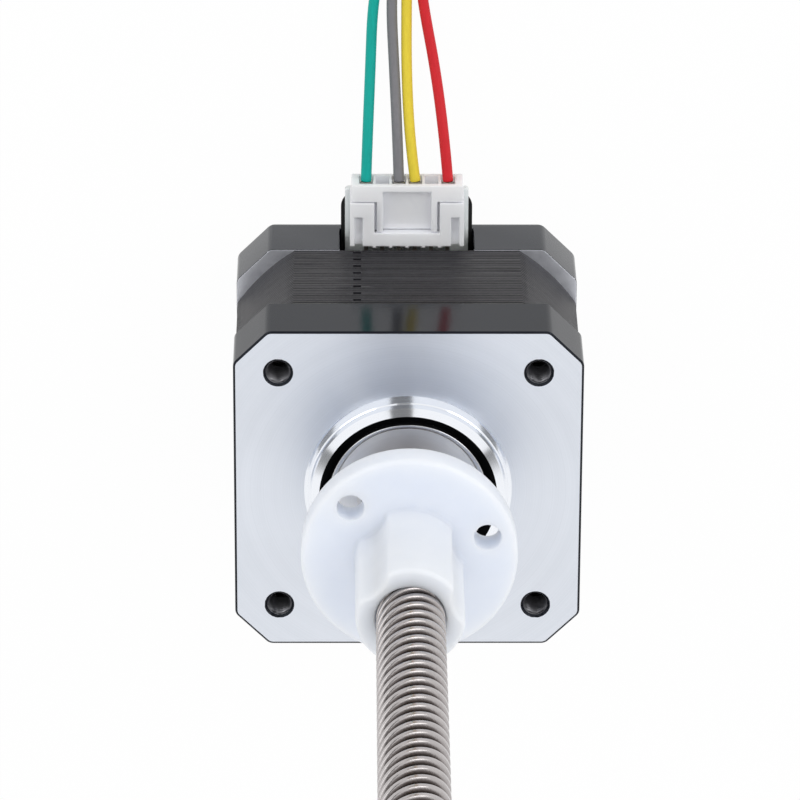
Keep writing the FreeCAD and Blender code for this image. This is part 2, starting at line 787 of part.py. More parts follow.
def lead_coil():
    """The outer shape of the coiled length: a flat ring with rounded edges."""
    low = coil_low()
    coil = ring(coil_outer, coil_inner, low, low + coil_height)
    rims = [e for e in coil.Edges if e.Curve.TypeId == "Part::GeomCircle"]
    return coil.makeFillet(coil_edge_radius, rims).translated(vec(coil_x, coil_y, 0))


def coil_tie(coil):
    """A strap round the coil's turns, with its lock outside."""
    outer = coil_x - coil_outer - tie_thick
    inner = coil_x - coil_inner + tie_thick
    top = coil_low() + coil_height + tie_thick
    strap = block(outer, inner, coil_y - tie_width / 2, coil_y + tie_width / 2, rear_face, top)
    across = [e for e in strap.Edges if abs((e.Vertexes[0].Point - e.Vertexes[1].Point).y) > 1e-6]
    strap = strap.makeFillet(tie_thick, across)
    lock_low = (rear_face + top - tie_head_height) / 2
    lock_side = coil_y - tie_head_width / 2
    lock = block(
        outer - tie_head_length, outer + tie_thick / 2, lock_side, lock_side + tie_head_width,
        lock_low, lock_low + tie_head_height,
    )
    return strap.fuse(lock).cut(coil)


def far_way_y(way):
    return far_plug_y + (way - (len(used_ways) - 1) / 2) * far_way_pitch


def far_plug():
    """Four-way plug housing, lying inside the coil, with two keys on its upper side."""
    half = far_plug_width / 2
    mouth = far_plug_x
    nose = far_plug_x - far_plug_length
    top = rear_face + far_plug_thick
    key_top = top + far_key_height
    body = block(nose, mouth, far_plug_y - half, far_plug_y + half, rear_face, top)
    keys = []
    for y in (far_plug_y - half + far_key_width, far_plug_y + half - 2 * far_key_width):
        keys.append(block(nose, mouth - far_key_width, y, y + far_key_width, top, key_top))
    cuts = []
    wide = far_cavity_width / 2
    middle = rear_face + far_plug_thick / 2
    for way in range(len(used_ways)):
        y = far_way_y(way)
        cuts.append(block(nose + far_wall, mouth + spare, y - wide, y + wide, middle - wide, middle + wide))
        hole = pin_hole / 2
        cuts.append(block(nose - spare, nose + spare, y - hole, y + hole, middle - hole, middle + hole))
    return body.fuse(keys).cut(cuts).removeSplitter()


def far_terminals():
    """Crimp terminals inside the far plug, each ending where its wire comes in."""
    half = terminal_width / 2
    middle = rear_face + far_plug_thick / 2
    front = far_plug_x - far_plug_length + far_wall
    neck = far_plug_x - far_plug_length / 2
    terminals = []
    for way in range(len(used_ways)):
        y = far_way_y(way)
        box = block(front, neck, y - half, y + half, middle - half, middle + half)
        bore = terminal_bore / 2
        box = box.cut(block(front - spare, neck - spare, y - bore, y + bore, middle - bore, middle + bore))
        barrel = Part.makeCylinder(barrel_radius, far_plug_x - neck, vec(neck, y, middle), vec(1, 0, 0))
        terminals.append(box.fuse(barrel))
    return Part.makeCompound(terminals)


# The whole part
def build():
    front = bearing(front_bearing_outer, screw_radius, front_bearing_low, front_bearing_width)
    rear = bearing(rear_bearing_outer, rear_bearing_bore, rear_bearing_low, rear_bearing_width)
    coil = lead_coil()
    nodes = {
        "front_cover": front_cover(),
        "stator_stack": stator_stack(),
        "rear_cover": rear_cover(),
        "through_screws": through_screws(),
        "wave_washer": wave_washer(),
        "front_slot_insulator": slot_insulator(stack_front, 1),
        "rear_slot_insulator": slot_insulator(stack_rear, -1),
        "phase_a_windings": windings(0),
        "phase_b_windings": windings(1),
        "lead_screw": lead_screw(),
        "front_rotor_cup": toothed_cup(magnet_front, rotor_front, 0),
        "rotor_magnet": ring(rotor_root - magnet_inset, screw_radius, magnet_rear, magnet_front),
        "rear_rotor_cup": toothed_cup(rotor_rear, magnet_rear, 180.0 / rotor_teeth),
        "rotor_spacer": ring(screw_radius + spacer_wall, screw_radius, rotor_front, front_bearing_low),
        "lead_nut": lead_nut(),
        "terminal_board": terminal_board(),
        "board_insulator": board_insulator(),
        "header_housing": header_housing(),
        "header_pins": header_pins(),
        "plug_housing": plug_housing(),
        "crimp_terminals": crimp_terminals(),
        "lead_coil": coil,
        "coil_tie": coil_tie(coil),
        "far_plug": far_plug(),
        "far_terminals": far_terminals(),
    }
    for piece in front:
        nodes["front_bearing_" + piece] = front[piece]
        nodes["rear_bearing_" + piece] = rear[piece]
    for colour in lead_routes:
        nodes["wire_" + colour] = cord_tube("wire_" + colour, lead_routes[colour])
        nodes["wire_end_" + colour] = cord_tube("wire_end_" + colour, tail_routes[colour])
    return nodes


os.makedirs("parts", exist_ok=True)
for name, shape in build().items():
    shape.exportStep(os.path.join("parts", name + ".step"))
    print(name, "valid", shape.isValid(), "solids", len(shape.Solids), "volume", round(shape.Volume, 2))
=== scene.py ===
import math

import bmesh
import bpy
import numpy as np
from mathutils import Matrix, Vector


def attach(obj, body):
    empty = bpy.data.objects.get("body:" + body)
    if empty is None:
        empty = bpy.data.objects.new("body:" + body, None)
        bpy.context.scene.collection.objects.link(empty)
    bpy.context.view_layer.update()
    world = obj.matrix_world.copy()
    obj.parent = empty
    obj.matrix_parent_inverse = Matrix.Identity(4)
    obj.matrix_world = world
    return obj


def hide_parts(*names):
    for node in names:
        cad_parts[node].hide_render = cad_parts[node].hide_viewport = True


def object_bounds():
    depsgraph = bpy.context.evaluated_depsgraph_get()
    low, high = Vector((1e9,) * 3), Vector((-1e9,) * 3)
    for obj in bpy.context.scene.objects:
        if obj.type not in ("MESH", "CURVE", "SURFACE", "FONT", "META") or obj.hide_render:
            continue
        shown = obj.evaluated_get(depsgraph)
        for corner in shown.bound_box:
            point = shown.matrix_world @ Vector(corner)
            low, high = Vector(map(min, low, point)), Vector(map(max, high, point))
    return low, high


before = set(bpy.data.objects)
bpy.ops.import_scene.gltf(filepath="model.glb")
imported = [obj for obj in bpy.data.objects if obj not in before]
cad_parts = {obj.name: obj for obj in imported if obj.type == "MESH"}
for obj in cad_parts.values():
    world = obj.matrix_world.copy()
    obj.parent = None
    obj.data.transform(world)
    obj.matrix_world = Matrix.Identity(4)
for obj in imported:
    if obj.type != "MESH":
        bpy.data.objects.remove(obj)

# A linear stepper motor: a square body, a lead screw with a flanged nut, and a plugged-in lead set.
# Lengths are millimetres and angles degrees, in the model's own frame: +Z along the screw, z 0 in the
# machined face, +Y towards the connector. A piece's mesh is scaled to metres when it is made.

cad_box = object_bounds()
millimetre = 0.001  # in metres

# Motor body
body_side = 20.85
corner_cut = 4.1
side_edge_radius = 1.2
face_bevel = 0.15
paint_rim = 0.27  # painted border round the machined face
cover_low = -8.1
cover_edge = 0.1  # bevel round the cover's foot
hole_place = 15.5
tap_radius = 1.5
tap_mouth = 1.8
tap_sink = 0.3  # depth of a tapped hole's countersink
tap_pitch = 0.5
tap_thread = 0.22
tap_end = -4.6
tap_rows = 52
pilot_radius = 12.0
pilot_top = 1.1
pilot_edge = 0.15
polish_radius = 12.45  # the face is as bright as the boss up to here
rim_radius = 11.6
rim_low = 1.6  # the boss's rim is turned to a flat cone, which starts here
boss_top = 2.0
bevel_radius = 10.66  # black bevel round the bearing, at the boss's rim
bevel_low = 0.84
shoulder_radius = 8.0  # the shoulder that the bearing sits on
shoulder_low = -5.1
sheet_count = 32
stack_low = -24.0
stack_half = 20.75
stack_round = 24.886  # from the screw's axis to the stack's round corners
stack_slack = 0.02  # a point this little inside the stack's side counts as on it
round_slack = 0.04
ledge_slack = 0.01
sheet_groove = 0.05
corner_groove = 0.012  # the sheets' round corners are ground nearly smooth

# Front bearing
bearing_radius = 9.5
bearing_low = -4.1
bearing_top = 1.9
profile_start = -1.0  # where a ring's closed profile starts and ends, half-way up its side
lip_radius = 9.0  # inside of the outer ring's two lips
outer_race_radius = 8.0
outer_race_ease = 0.14
inner_race_radius = 5.5
inner_race_ease = 0.25
shield_sink = 0.7  # from the bearing's face down to the shield's seat
shield_height = 0.4
shield_radius = 8.88
shield_step = (6.1, 5.9)  # between these radii the shield drops to half its height
shield_bore = 5.65
shield_ease = 0.1

# Through screws
shank_radius = 1.25
shank_tip = -4.62
tip_dome = ((0.0, 0.0), (0.55, 0.06), (1.0, 0.24), (shank_radius, 0.68))  # radius, and depth below the tip
head_radius = 2.75
head_top = -30.6
head_low = -32.5
head_edge = 0.2  # bevel on the shank's side
head_bevel = 0.3  # bevel on the socket's side
head_flat = 1.5  # inner radius of the head's flat ring
socket_half = 1.0  # half of the hexagon's width across its flats
socket_bevel = 0.12
socket_depth = 1.2
socket_cone = 0.3

# Screw
screw_radius = 4.0
screw_tip = 100.0
screw_bevel = 1.0
thread_pitch = 2.0
thread_starts = 4
thread_depth = 1.05
# Crest, its rounded edge, flank and root: half pitches from the crest's middle, and share of the depth
thread_profile = (
    (0.0, 0.0), (0.24, 0.0), (0.31, 0.015), (0.36, 0.08), (0.4, 0.2), (0.49, 0.5), (0.58, 0.8), (0.63, 0.93),
    (0.7, 1.0), (1.0, 1.0),
)
thread_first = 2.2
thread_growth = 2.5  # length over which the thread comes to its full depth
shaft_rows = (-60.0, -20.0)  # rows of the plain shaft, which is cut to length afterwards
journal_radius = 2.5
journal_bevel = 0.4
journal_low = -32.4
journal_top = -26.6

# Nut
nut_low = 14.3
nut_step = 18.05
nut_top = 33.35
nut_flange_radius = 12.7
nut_boss_radius = 6.35
nut_hole_circle = 9.525
nut_hole_count = 3
nut_hole_radius = 1.6
nut_hole_mouth = ((0.15, 0.0), (0.05, 0.05), (0.0, 0.2))  # wider than the hole by, at a depth of
nut_first_hole = 16.5
nut_hollow_radius = 4.3
nut_rib_radius = 1.0
nut_edge = 0.6
nut_foot = 0.5
nut_wall_rows = (22.0, 28.0)  # heights of two rows of points on the boss's straight wall
nut_bore = 4.08
nut_bore_bevel = 0.15
nut_columns = 288
nut_holed_columns = 56  # of those, how many cross the flange about each hole

# Wires and their coil
wire_diameter = 1.3
coil_centre = (-5.0, 82.5)
coil_start = -60.0
coil_turns = 2
coil_steps = 16  # control points in a turn
coil_first_radius = 21.5
coil_last_radius = 15.0
coil_level = -30.85
bundle_radius = 0.95

# Light. The dark places that metal sees in the room are set by x, y and z of their direction
room_light = 0.86  # how bright the room's white is to what it lights
gap_x = -0.05  # middle of the gap between the two soft boxes
gap_half = (0.088, 0.1)  # half of its width, on both sides of its soft edge
gap_y = (-0.2, 0.1)  # where it starts, and where it is at its darkest
gap_z = (0.2, 0.5)
gap_dark = 0.78  # how much of the light it takes away
strip_y = -0.16  # middle of the strip under the soft boxes' outer ends
strip_half = (0.1, 0.13)
strip_x = (0.3, 0.34)
strip_z = (0.68, 0.76)
strip_dark = 0.72
# A lamp's name, place and size in metres, and power in watts
lamps = (("left_lamp", (-0.5, 0.5, 0.5), 0.5, 0.8), ("right_lamp", (0.58, 0.45, 0.5), 0.5, 1.4))

# How meshes are made
weld = 0.002 * millimetre  # points nearer than this become one
on_plane = 1e-7  # a point as near as this to a cutting plane, in metres, lies in it
side_steps = 6  # parts into which a sector's straight side is divided


# Finishes
def tone(red, green, blue):
    """A colour as it looks on a screen, 0 to 255, turned into the linear colour that a shader takes."""
    share = np.array([red, green, blue]) / 255
    linear = np.where(share <= 0.04045, share / 12.92, ((share + 0.055) / 1.055) ** 2.4)
    return (*linear.tolist(), 1.0)


class Value:
    """A socket in a tree of nodes. Arithmetic on it adds Math nodes."""

    def __init__(self, nodes, socket):
        self.nodes = nodes
        self.socket = socket

    def __add__(self, other):
        return self.nodes.math("ADD", self, other)

    __radd__ = __add__

    def __sub__(self, other):
        return self.nodes.math("SUBTRACT", self, other)

    def __rsub__(self, other):
        return self.nodes.math("SUBTRACT", other, self)

    def __mul__(self, other):
        return self.nodes.math("MULTIPLY", self, other)

    __rmul__ = __mul__


class Nodes:
    """A tree of nodes, to which worked-out values are added."""

    def __init__(self, tree):
        self.tree = tree

    def node(self, kind, settings=None, sockets=None, output=0):
        """Adds a node: its settings come first, then its sockets' values or links."""
        made = self.tree.nodes.new("ShaderNode" + kind)
        for name, value in (settings or {}).items():
            setattr(made, name, value)
        for name, value in (sockets or {}).items():
            self.join(made.inputs[name], value)
        return Value(self, made.outputs[output])

    def join(self, socket, value):
        """Links a worked-out value to a socket, or sets a constant on it."""
        if isinstance(value, Value):
            self.tree.links.new(value.socket, socket)
        else:
            socket.default_value = value

    def math(self, operation, first, second=0.0):
        """A Math node's result."""
        return self.node("Math", {"operation": operation}, {0: first, 1: second})

    def split(self, vector):
        """A vector's x, y and z."""
        first = self.node("SeparateXYZ", {}, {0: vector})
        return [Value(self, output) for output in first.socket.node.outputs]

    def fade(self, value, low, high):
        """0 below low, 1 above high, smooth between."""
        settings = {"interpolation_type": "SMOOTHSTEP"}
        return self.node("MapRange", settings, {"Value": value, "From Min": low, "From Max": high})

    def seen_directly(self):
        """1 for rays that show a surface as it is: from the camera, in a mirror or through glass."""
        rays = ("Is Camera Ray", "Is Glossy Ray", "Is Transmission Ray")
        camera_ray, mirror_ray, glass_ray = [self.node("LightPath", output=name) for name in rays]
        return self.math("MAXIMUM", self.math("MAXIMUM", camera_ray, mirror_ray), glass_ray)


class Finish(Nodes):
    """A material with one Principled shader, whose sockets take constants or worked-out values."""

    def __init__(self, name, **constants):
        self.material = bpy.data.materials.new(name)
        self.material.use_nodes = True
        super().__init__(self.material.node_tree)
        self.shader = self.tree.nodes["Principled BSDF"]
        for socket, value in constants.items():
            self.set(socket.replace("_", " ").title().replace("Ior", "IOR"), value)

    def set(self, socket, value):
        """Gives one of the shader's sockets a constant or a worked-out value."""
        self.join(self.shader.inputs[socket], value)

    def spot(self):
        """The place on the piece, in millimetres."""
        place = self.node("TexCoord", output="Object")
        return self.node("VectorMath", {"operation": "SCALE"}, {0: place, "Scale": 1 / millimetre}, "Vector")

    def stretch(self, vector, x, y, z):
        """A vector with each part scaled. A pattern on it is drawn out along the smaller parts."""
        return self.node("Mapping", {}, {"Vector": vector, "Scale": (x, y, z)})

    def noise(self, vector, scale, detail=2.0):
        """Cloudy noise, finer for a larger scale."""
        return self.node("TexNoise", {}, {"Vector": vector, "Scale": scale, "Detail": detail})

    def bands(self, along, scale, detail=2.0):
        """Noise along one number only, such as a radius or a height."""
        settings = {"noise_dimensions": "1D"}
        return self.node("TexNoise", settings, {"W": along, "Scale": scale, "Detail": detail})

    def waves(self, vector, way, scale, wander):
        """Even bands across one axis, which wander a little."""
        sockets = {"Vector": vector, "Scale": scale, "Distortion": wander}
        return self.node("TexWave", {"bands_direction": way}, sockets)

    def chance(self, number):
        """An even random number for each whole number."""
        return self.node("TexWhiteNoise", {"noise_dimensions": "1D"}, {"W": number})

    def mix(self, share, first, second):
        """A colour between two others: the first where the share is 0, the second where it is 1."""
        return self.node("Mix", {"data_type": "RGBA"}, {0: share, 6: first, 7: second}, 2)

    def colour(self, share, low, high):
        """Colours the surface between two screen colours."""
        self.set("Base Color", self.mix(share, tone(*low), tone(*high)))

    def bump(self, height, distance):
        """Relief of that depth, in millimetres, where the height goes from 0 to 1."""
        relief = self.node("Bump", {}, {"Strength": 1.0, "Distance": distance * millimetre, "Height": height})
        self.set("Normal", relief)

    def radius(self, spot):
        """A spot's distance from the screw's axis."""
        x, y, _ = self.split(spot)
        return self.math("SQRT", x * x + y * y)


even_scatter = (1.0, 1.0, 1.0)  # light spreads as far inside a plastic in every colour


def black_paint(name, shade, rough, gloss):
    """Sprayed black on a casting: faint orange peel, cloudy gloss with a cold tint. The blue in the base
    colour is painted reflection of that cold tint.
    """
    finish = Finish(name, specular_ior_level=gloss, specular_tint=(0.8, 0.87, 1.0, 1.0))
    spot = finish.spot()
    cloud = finish.noise(spot, 0.15, 3.0)
    peel = finish.noise(spot, 1.8, 2.0)
    # Blue raised in the base colour: a painted cold reflection on black paint.
    dark = (shade, 1.1 * shade, 1.4 * shade)
    finish.colour(cloud, dark, [part + 6 for part in dark])
    finish.set("Roughness", rough + 0.08 * cloud)
    finish.bump(peel, 0.004)
    return finish.material


def turned_metal(name, dark, bright, rough, groove, stretched):
    """Metal faced on a lathe: rings about the screw's axis, which draw its gloss out along the radius."""
    finish = Finish(name, metallic=1.0, anisotropic=stretched, anisotropic_rotation=0.25)
    spot = finish.spot()
    radius = finish.radius(spot)
    fine = finish.bands(radius, 7.0, 3.0)
    broad = finish.bands(radius, 0.7, 2.0)
    cloud = finish.noise(spot, 0.12, 2.0)
    share = 0.4 * fine + 0.2 * broad + 0.4 * cloud
    finish.colour(share, dark, bright)
    finish.set("Roughness", rough + 0.06 * fine + 0.06 * cloud)
    finish.bump(fine, groove)
    return finish.material


def sheet_edges(name):
    """Stamped sheet edges: each sheet its own dark grey, speckled, and streaked along its length, with a
    painted shadow line next to the front cover.
    """
    finish = Finish(name, specular_ior_level=0.2)
    spot = finish.spot()
    height = finish.split(spot)[2]
    sheet = finish.math("FLOOR", (cover_low - height) * (sheet_count / (cover_low - stack_low)))
    turn = finish.chance(finish.math("MODULO", sheet, 4.0))
    own = finish.chance(sheet)
    streak = finish.noise(finish.stretch(spot, 0.5, 0.5, 9.0), 0.8, 4.0)
    speck = finish.fade(finish.noise(spot, 3.2, 3.0), 0.35, 0.75)
    share = 0.28 * turn + 0.2 * own + 0.27 * streak + 0.25 * speck
    sheet_colour = finish.mix(share, tone(6, 6, 8), tone(58, 57, 62))
    # A dark band painted along the sheets next to the front cover: painted shadow of the gap under the
    # cover's edge.
    painted_shadow_near_cover = finish.fade(height, cover_low - 0.9, cover_low - 0.4)
    finish.set("Base Color", finish.mix(painted_shadow_near_cover, sheet_colour, tone(14, 14, 16)))
    finish.set("Roughness", 0.26 + 0.22 * streak)
    finish.bump(0.6 * streak + 0.4 * speck, 0.02)
    return finish.material


def thread_steel(name):
    """Rolled steel thread: crests painted lighter and roots painted darker, as painted light and shade across
    the thread's depth, with fine marks along the turns.
    """
    finish = Finish(name, metallic=1.0)
    spot = finish.spot()
    crest = finish.fade(finish.radius(spot), screw_radius - 0.6, screw_radius - 0.06)
    marks = finish.noise(finish.stretch(spot, 1.0, 1.0, 4.0), 2.2, 4.0)
    cloud = finish.noise(spot, 0.35, 3.0)
    crest_painted_light = finish.mix(0.55 * marks + 0.45 * cloud, tone(158, 153, 153), tone(204, 199, 198))
    # The crests' lighter colour is a painted highlight and the roots' darker colour is painted shade in the
    # grooves.
    root_painted_shade = finish.mix(marks, tone(86, 79, 76), tone(124, 117, 114))
    finish.set("Base Color", finish.mix(crest, root_painted_shade, crest_painted_light))
    finish.set("Roughness", 0.1 + 0.02 * crest + 0.1 * marks)
    finish.bump(marks, 0.012)
    return finish.material


def moulded(name, low, high, rough, scatter, depth=0.8):
    """Moulded plastic: a cloudy colour and a fine eroded skin. Light gets in to a depth in millimetres."""
    finish = Finish(
        name, subsurface_weight=scatter, subsurface_scale=depth * millimetre, subsurface_radius=even_scatter
    )
    spot = finish.spot()
    cloud = finish.noise(spot, 0.25, 3.0)
    skin = finish.noise(spot, 6.0, 2.0)
    finish.colour(cloud, low, high)
    finish.set("Roughness", rough + 0.12 * skin)
    finish.bump(skin, 0.006)
    return finish.material


def plain_metal(name, low, high, rough):
    """Bare or plated metal: blotchy tone and a fine brushed skin."""
    finish = Finish(name, metallic=1.0)
    spot = finish.spot()
    blotch = finish.noise(spot, 0.7, 4.0)
    skin = finish.noise(spot, 9.0, 2.0)
    finish.colour(blotch, low, high)
    finish.set("Roughness", rough + 0.16 * blotch)
    finish.bump(skin, 0.004)
    return finish.material


def wound_wire(name):
    """Enamelled wire laid side by side round a pole."""
    finish = Finish(name, metallic=0.9)
    spot = finish.spot()
    turns = finish.waves(spot, "Z", 1.1, 1.5)
    finish.colour(turns, (120, 58, 24), (206, 124, 72))
    finish.set("Roughness", 0.45 - 0.2 * turns)
    finish.bump(turns, 0.08)
    return finish.material


def laminate(name):
    """Glass-cloth board: pale green-grey, with the cloth's layers at its edges."""
    finish = Finish(
        name, subsurface_weight=0.6, subsurface_scale=1.2 * millimetre, subsurface_radius=even_scatter
    )
    spot = finish.spot()
    layers = finish.bands(finish.split(spot)[2], 9.0, 1.0)
    weave = finish.waves(spot, "X", 0.8, 0.6)
    share = 0.55 * layers + 0.25 * weave + 0.2 * finish.noise(spot, 0.6, 3.0)
    finish.colour(share, (230, 240, 238), (248, 253, 252))
    finish.set("Roughness", 0.5 + 0.15 * layers)
    finish.bump(layers, 0.01)
    return finish.material


def wire_skin(name, colour):
    """Extruded insulation: an even colour with faint streaks and a soft gloss."""
    finish = Finish(name, specular_ior_level=0.25)
    spot = finish.spot()
    streak = finish.noise(finish.stretch(spot, 2.0, 0.25, 2.0), 1.5, 3.0)
    skin = finish.noise(spot, 5.0, 2.0)
    finish.colour(streak, [0.88 * part for part in colour], colour)
    finish.set("Roughness", 0.46 + 0.12 * streak)
    finish.bump(skin, 0.008)
    return finish.material


cover_paint = black_paint("front_cover_paint", 20, 0.1, 0.2)
rear_paint = black_paint("rear_cover_paint", 22, 0.16, 0.33)
bevel_paint = black_paint("bearing_bevel_paint", 5, 0.35, 0.03)
bright_face = turned_metal("machined_face", (212, 217, 225), (236, 240, 248), 0.26, 0.002, 0.75)
boss_metal = turned_metal("polished_boss", (232, 236, 243), (248, 250, 254), 0.04, 0.001, 0.4)
ring_steel = turned_metal("bearing_ring_steel", (204, 205, 208), (228, 229, 232), 0.14, 0.002, 0.5)
shield_steel = turned_metal("bearing_shield_steel", (228, 228, 229), (245, 245, 246), 0.28, 0.002, 0.6)
ledge_metal = plain_metal("bare_ledge", (214, 216, 224), (240, 242, 248), 0.34)
tapped_metal = plain_metal("tapped_hole_metal", (110, 110, 114), (176, 176, 180), 0.28)
sheet_metal = sheet_edges("sheet_edges")
screw_metal = thread_steel("thread_steel")
nut_plastic = moulded("nut_plastic", (226, 231, 241), (234, 238, 246), 0.34, 0.9, 2.8)
connector_plastic = moulded("connector_plastic", (240, 242, 250), (250, 251, 255), 0.36, 0.7, 1.0)
insulator_plastic = moulded("insulator_plastic", (210, 206, 194), (228, 225, 214), 0.45, 0.1)
film_plastic = moulded("black_film", (14, 14, 15), (26, 26, 27), 0.42, 0.0)
tie_plastic = moulded("tie_plastic", (20, 20, 21), (34, 34, 35), 0.4, 0.0)
board_laminate = laminate("board_laminate")
fastener_steel = plain_metal("fastener_steel", (96, 95, 92), (150, 148, 144), 0.3)
spring_steel = plain_metal("spring_steel", (120, 118, 114), (170, 168, 163), 0.28)
tinned_metal = plain_metal("tinned_contact", (168, 165, 158), (208, 205, 198), 0.26)
rotor_metal = plain_metal("rotor_sheet", (110, 108, 105), (160, 158, 154), 0.34)
magnet_metal = plain_metal("magnet_metal", (70, 70, 72), (110, 110, 112), 0.4)
spacer_metal = plain_metal("spacer_aluminium", (170, 171, 173), (208, 209, 211), 0.3)
copper_wire = wound_wire("winding_copper")
wire_colours = {
    "green": (0, 176, 163),
    "grey": (133, 132, 136),
    "yellow": (244, 220, 66),
    "red": (221, 37, 47),
}
wire_skins = {colour: wire_skin("insulation_" + colour, wire_colours[colour]) for colour in wire_colours}


# Meshes
class Shell:
    """Grids of points gathered into one mesh. Each grid has a finish of its own."""

    def __init__(self):
        self.points = []
        self.faces = []
        self.finishes = []
        self.count = 0

    def add(self, grid, finish=0, loop=True):
        """Joins each point of a grid to its neighbours. A loop joins the last column to the first."""
        rows, columns = grid.shape[:2]
        index = self.count + np.arange(rows * columns).reshape(rows, columns)
        if loop:
            index = np.hstack([index, index[:, :1]])
        corners = (index[:-1, :-1], index[:-1, 1:], index[1:, 1:], index[1:, :-1])
        faces = np.stack(corners, -1).reshape(-1, 4)
        self.points.append(grid.reshape(-1, 3))
        self.faces.append(faces)
        self.finishes.append(np.full(len(faces), finish))
        self.count += rows * columns

    def mesh(self, name):
        """The gathered grids as one mesh, in metres."""
        made = bpy.data.meshes.new(name)
        points = np.concatenate(self.points) * millimetre
        made.from_pydata(points.tolist(), [], np.concatenate(self.faces).tolist())
        made.polygons.foreach_set("material_index", np.concatenate(self.finishes))
        return made


def close_mesh(mesh, levels=()):
    """Merges the grids' shared edges, cuts at level planes and fills them, and turns the faces outwards.

    A level is a height and a direction: what lies beyond the height that way is taken off.
    """
    work = bmesh.new()
    work.from_mesh(mesh)
    for height, way in levels:
        level = height * millimetre
        parts = work.verts[:] + work.edges[:] + work.faces[:]
        bmesh.ops.bisect_plane(
            work, geom=parts, dist=on_plane, plane_co=(0, 0, level), plane_no=(0, 0, way), clear_outer=True
        )
        bmesh.ops.remove_doubles(work, verts=work.verts[:], dist=weld)
        open_edges = [edge for edge in work.edges if edge.is_boundary]
        rim = [edge for edge in open_edges if all(abs(end.co.z - level) < 1.5 * weld for end in edge.verts)]
        bmesh.ops.contextual_create(work, geom=rim)
    bmesh.ops.remove_doubles(work, verts=work.verts[:], dist=weld)
    bmesh.ops.dissolve_degenerate(work, edges=work.edges[:], dist=weld / 2)
    bmesh.ops.recalc_face_normals(work, faces=work.faces[:])
    work.to_mesh(mesh)
    work.free()


def put(name, mesh, body, finishes, nodes, sharp=32.0):
    """A finished piece: its materials, its shading, the body that it moves with and what it stands for."""
    piece = bpy.data.objects.new(name, mesh)
    bpy.context.collection.objects.link(piece)
    for finish in finishes:
        mesh.materials.append(finish)
    mesh.shade_smooth()
    mesh.set_sharp_from_angle(angle=math.radians(sharp))
    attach(piece, body)
    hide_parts(*nodes)
    return piece


def closed_piece(name, shell, body, finishes, nodes, sharp=32.0):
    """A finished piece made of a shell's grids, which meet all round."""
    mesh = shell.mesh(name)
    close_mesh(mesh)
    put(name, mesh, body, finishes, nodes, sharp)


def raised(flat, height):
    """A grid of flat points, lifted to one height, or to a height for each row or each point."""
    return np.dstack([flat, np.broadcast_to(height, flat.shape[:2])])


def polar(radius, angle, height):
    """A grid of points by their distance from the screw's axis, their angle about it and their height."""
    return np.dstack(np.broadcast_arrays(radius * np.cos(angle), radius * np.sin(angle), height))


def revolved(profile, columns):
    """A turned surface: each (radius, height) of a profile carried round the screw's axis."""
    radius, height = np.array(profile, float).T[..., None]
    return polar(radius, np.linspace(0, 2 * np.pi, columns, endpoint=False), height)


def softened(profile, radius, steps=4):
    """A profile whose inner corners are rounded by short curves that leave and meet its straight runs."""
    points = np.array(profile, float)
    before, corner, after = points[:-2], points[1:-1], points[2:]
    back = before - corner
    ahead = after - corner
    back_length = np.linalg.norm(back, axis=1, keepdims=True)
    ahead_length = np.linalg.norm(ahead, axis=1, keepdims=True)
    reach = np.minimum(radius, 0.45 * np.minimum(back_length, ahead_length))
    first = corner + back / back_length * reach
    last = corner + ahead / ahead_length * reach
    t = np.linspace(0, 1, steps + 1)[None, :, None]
    curve = (1 - t) ** 2 * first[:, None] + 2 * t * (1 - t) * corner[:, None] + t ** 2 * last[:, None]
    return np.vstack([points[:1], curve.reshape(-1, 2), points[-1:]])


def carried(points, normals, profile):
    """A profile of (inset, height) carried round an outline: each row is the outline moved inwards."""
    inset, height = np.array(profile, float).T
    flat = points[None] - inset[:, None, None] * normals[None]
    return raised(flat, height[:, None])


def circle(radius, degrees):
    """Flat points about the screw's axis: x is the radius times the angle's cosine, y times its sine."""
    angle = np.radians(degrees)
    return np.stack([radius * np.cos(angle), radius * np.sin(angle)], -1)


def spanned(inner, outer, level):
    """A flat plate between two lines of points, in even steps from the one to the other."""
    share = np.linspace(0, 1, side_steps + 1)[:, None, None]
    return raised(inner + share * (outer - inner), level)


def sector(inner, outer):
    """A sector's closed boundary: out along its first side, round, back along its last side, and home."""
    t = np.linspace(0, 1, side_steps, endpoint=False)[:, None]
    out = inner[0] + t * (outer[0] - inner[0])
    home = outer[-1] + t * (inner[-1] - outer[-1])
    return np.vstack([out, outer[:-1], home, inner[:0:-1]])


def pierced(boundary, centre, radius, level, rings=5):
    """A flat plate with a round hole: straight lines from the hole's edge out to the plate's boundary."""
    ray = boundary - centre
    edge = centre + radius * ray / np.linalg.norm(ray, axis=1, keepdims=True)
    share = np.linspace(0, 1, rings + 1)[:, None, None]
    return raised(edge + share * (boundary - edge), level)


def sleeve(boundary, centre, radius, height):
    """The wall of a hole, below a plate's own lines: a radius and a height for each row or each point."""
    ray = boundary - centre
    ray = ray / np.linalg.norm(ray, axis=1, keepdims=True)
    radius = np.broadcast_to(radius, (len(height), len(ray)))
    return raised(centre + radius[..., None] * ray, height)


def turned_quarter(points, quarters):
    """Points turned about the screw's axis by quarter turns. One such turn takes (x, y) to (-y, x)."""
    return points @ np.linalg.matrix_power(np.array([[0.0, 1.0], [-1.0, 0.0]]), quarters)


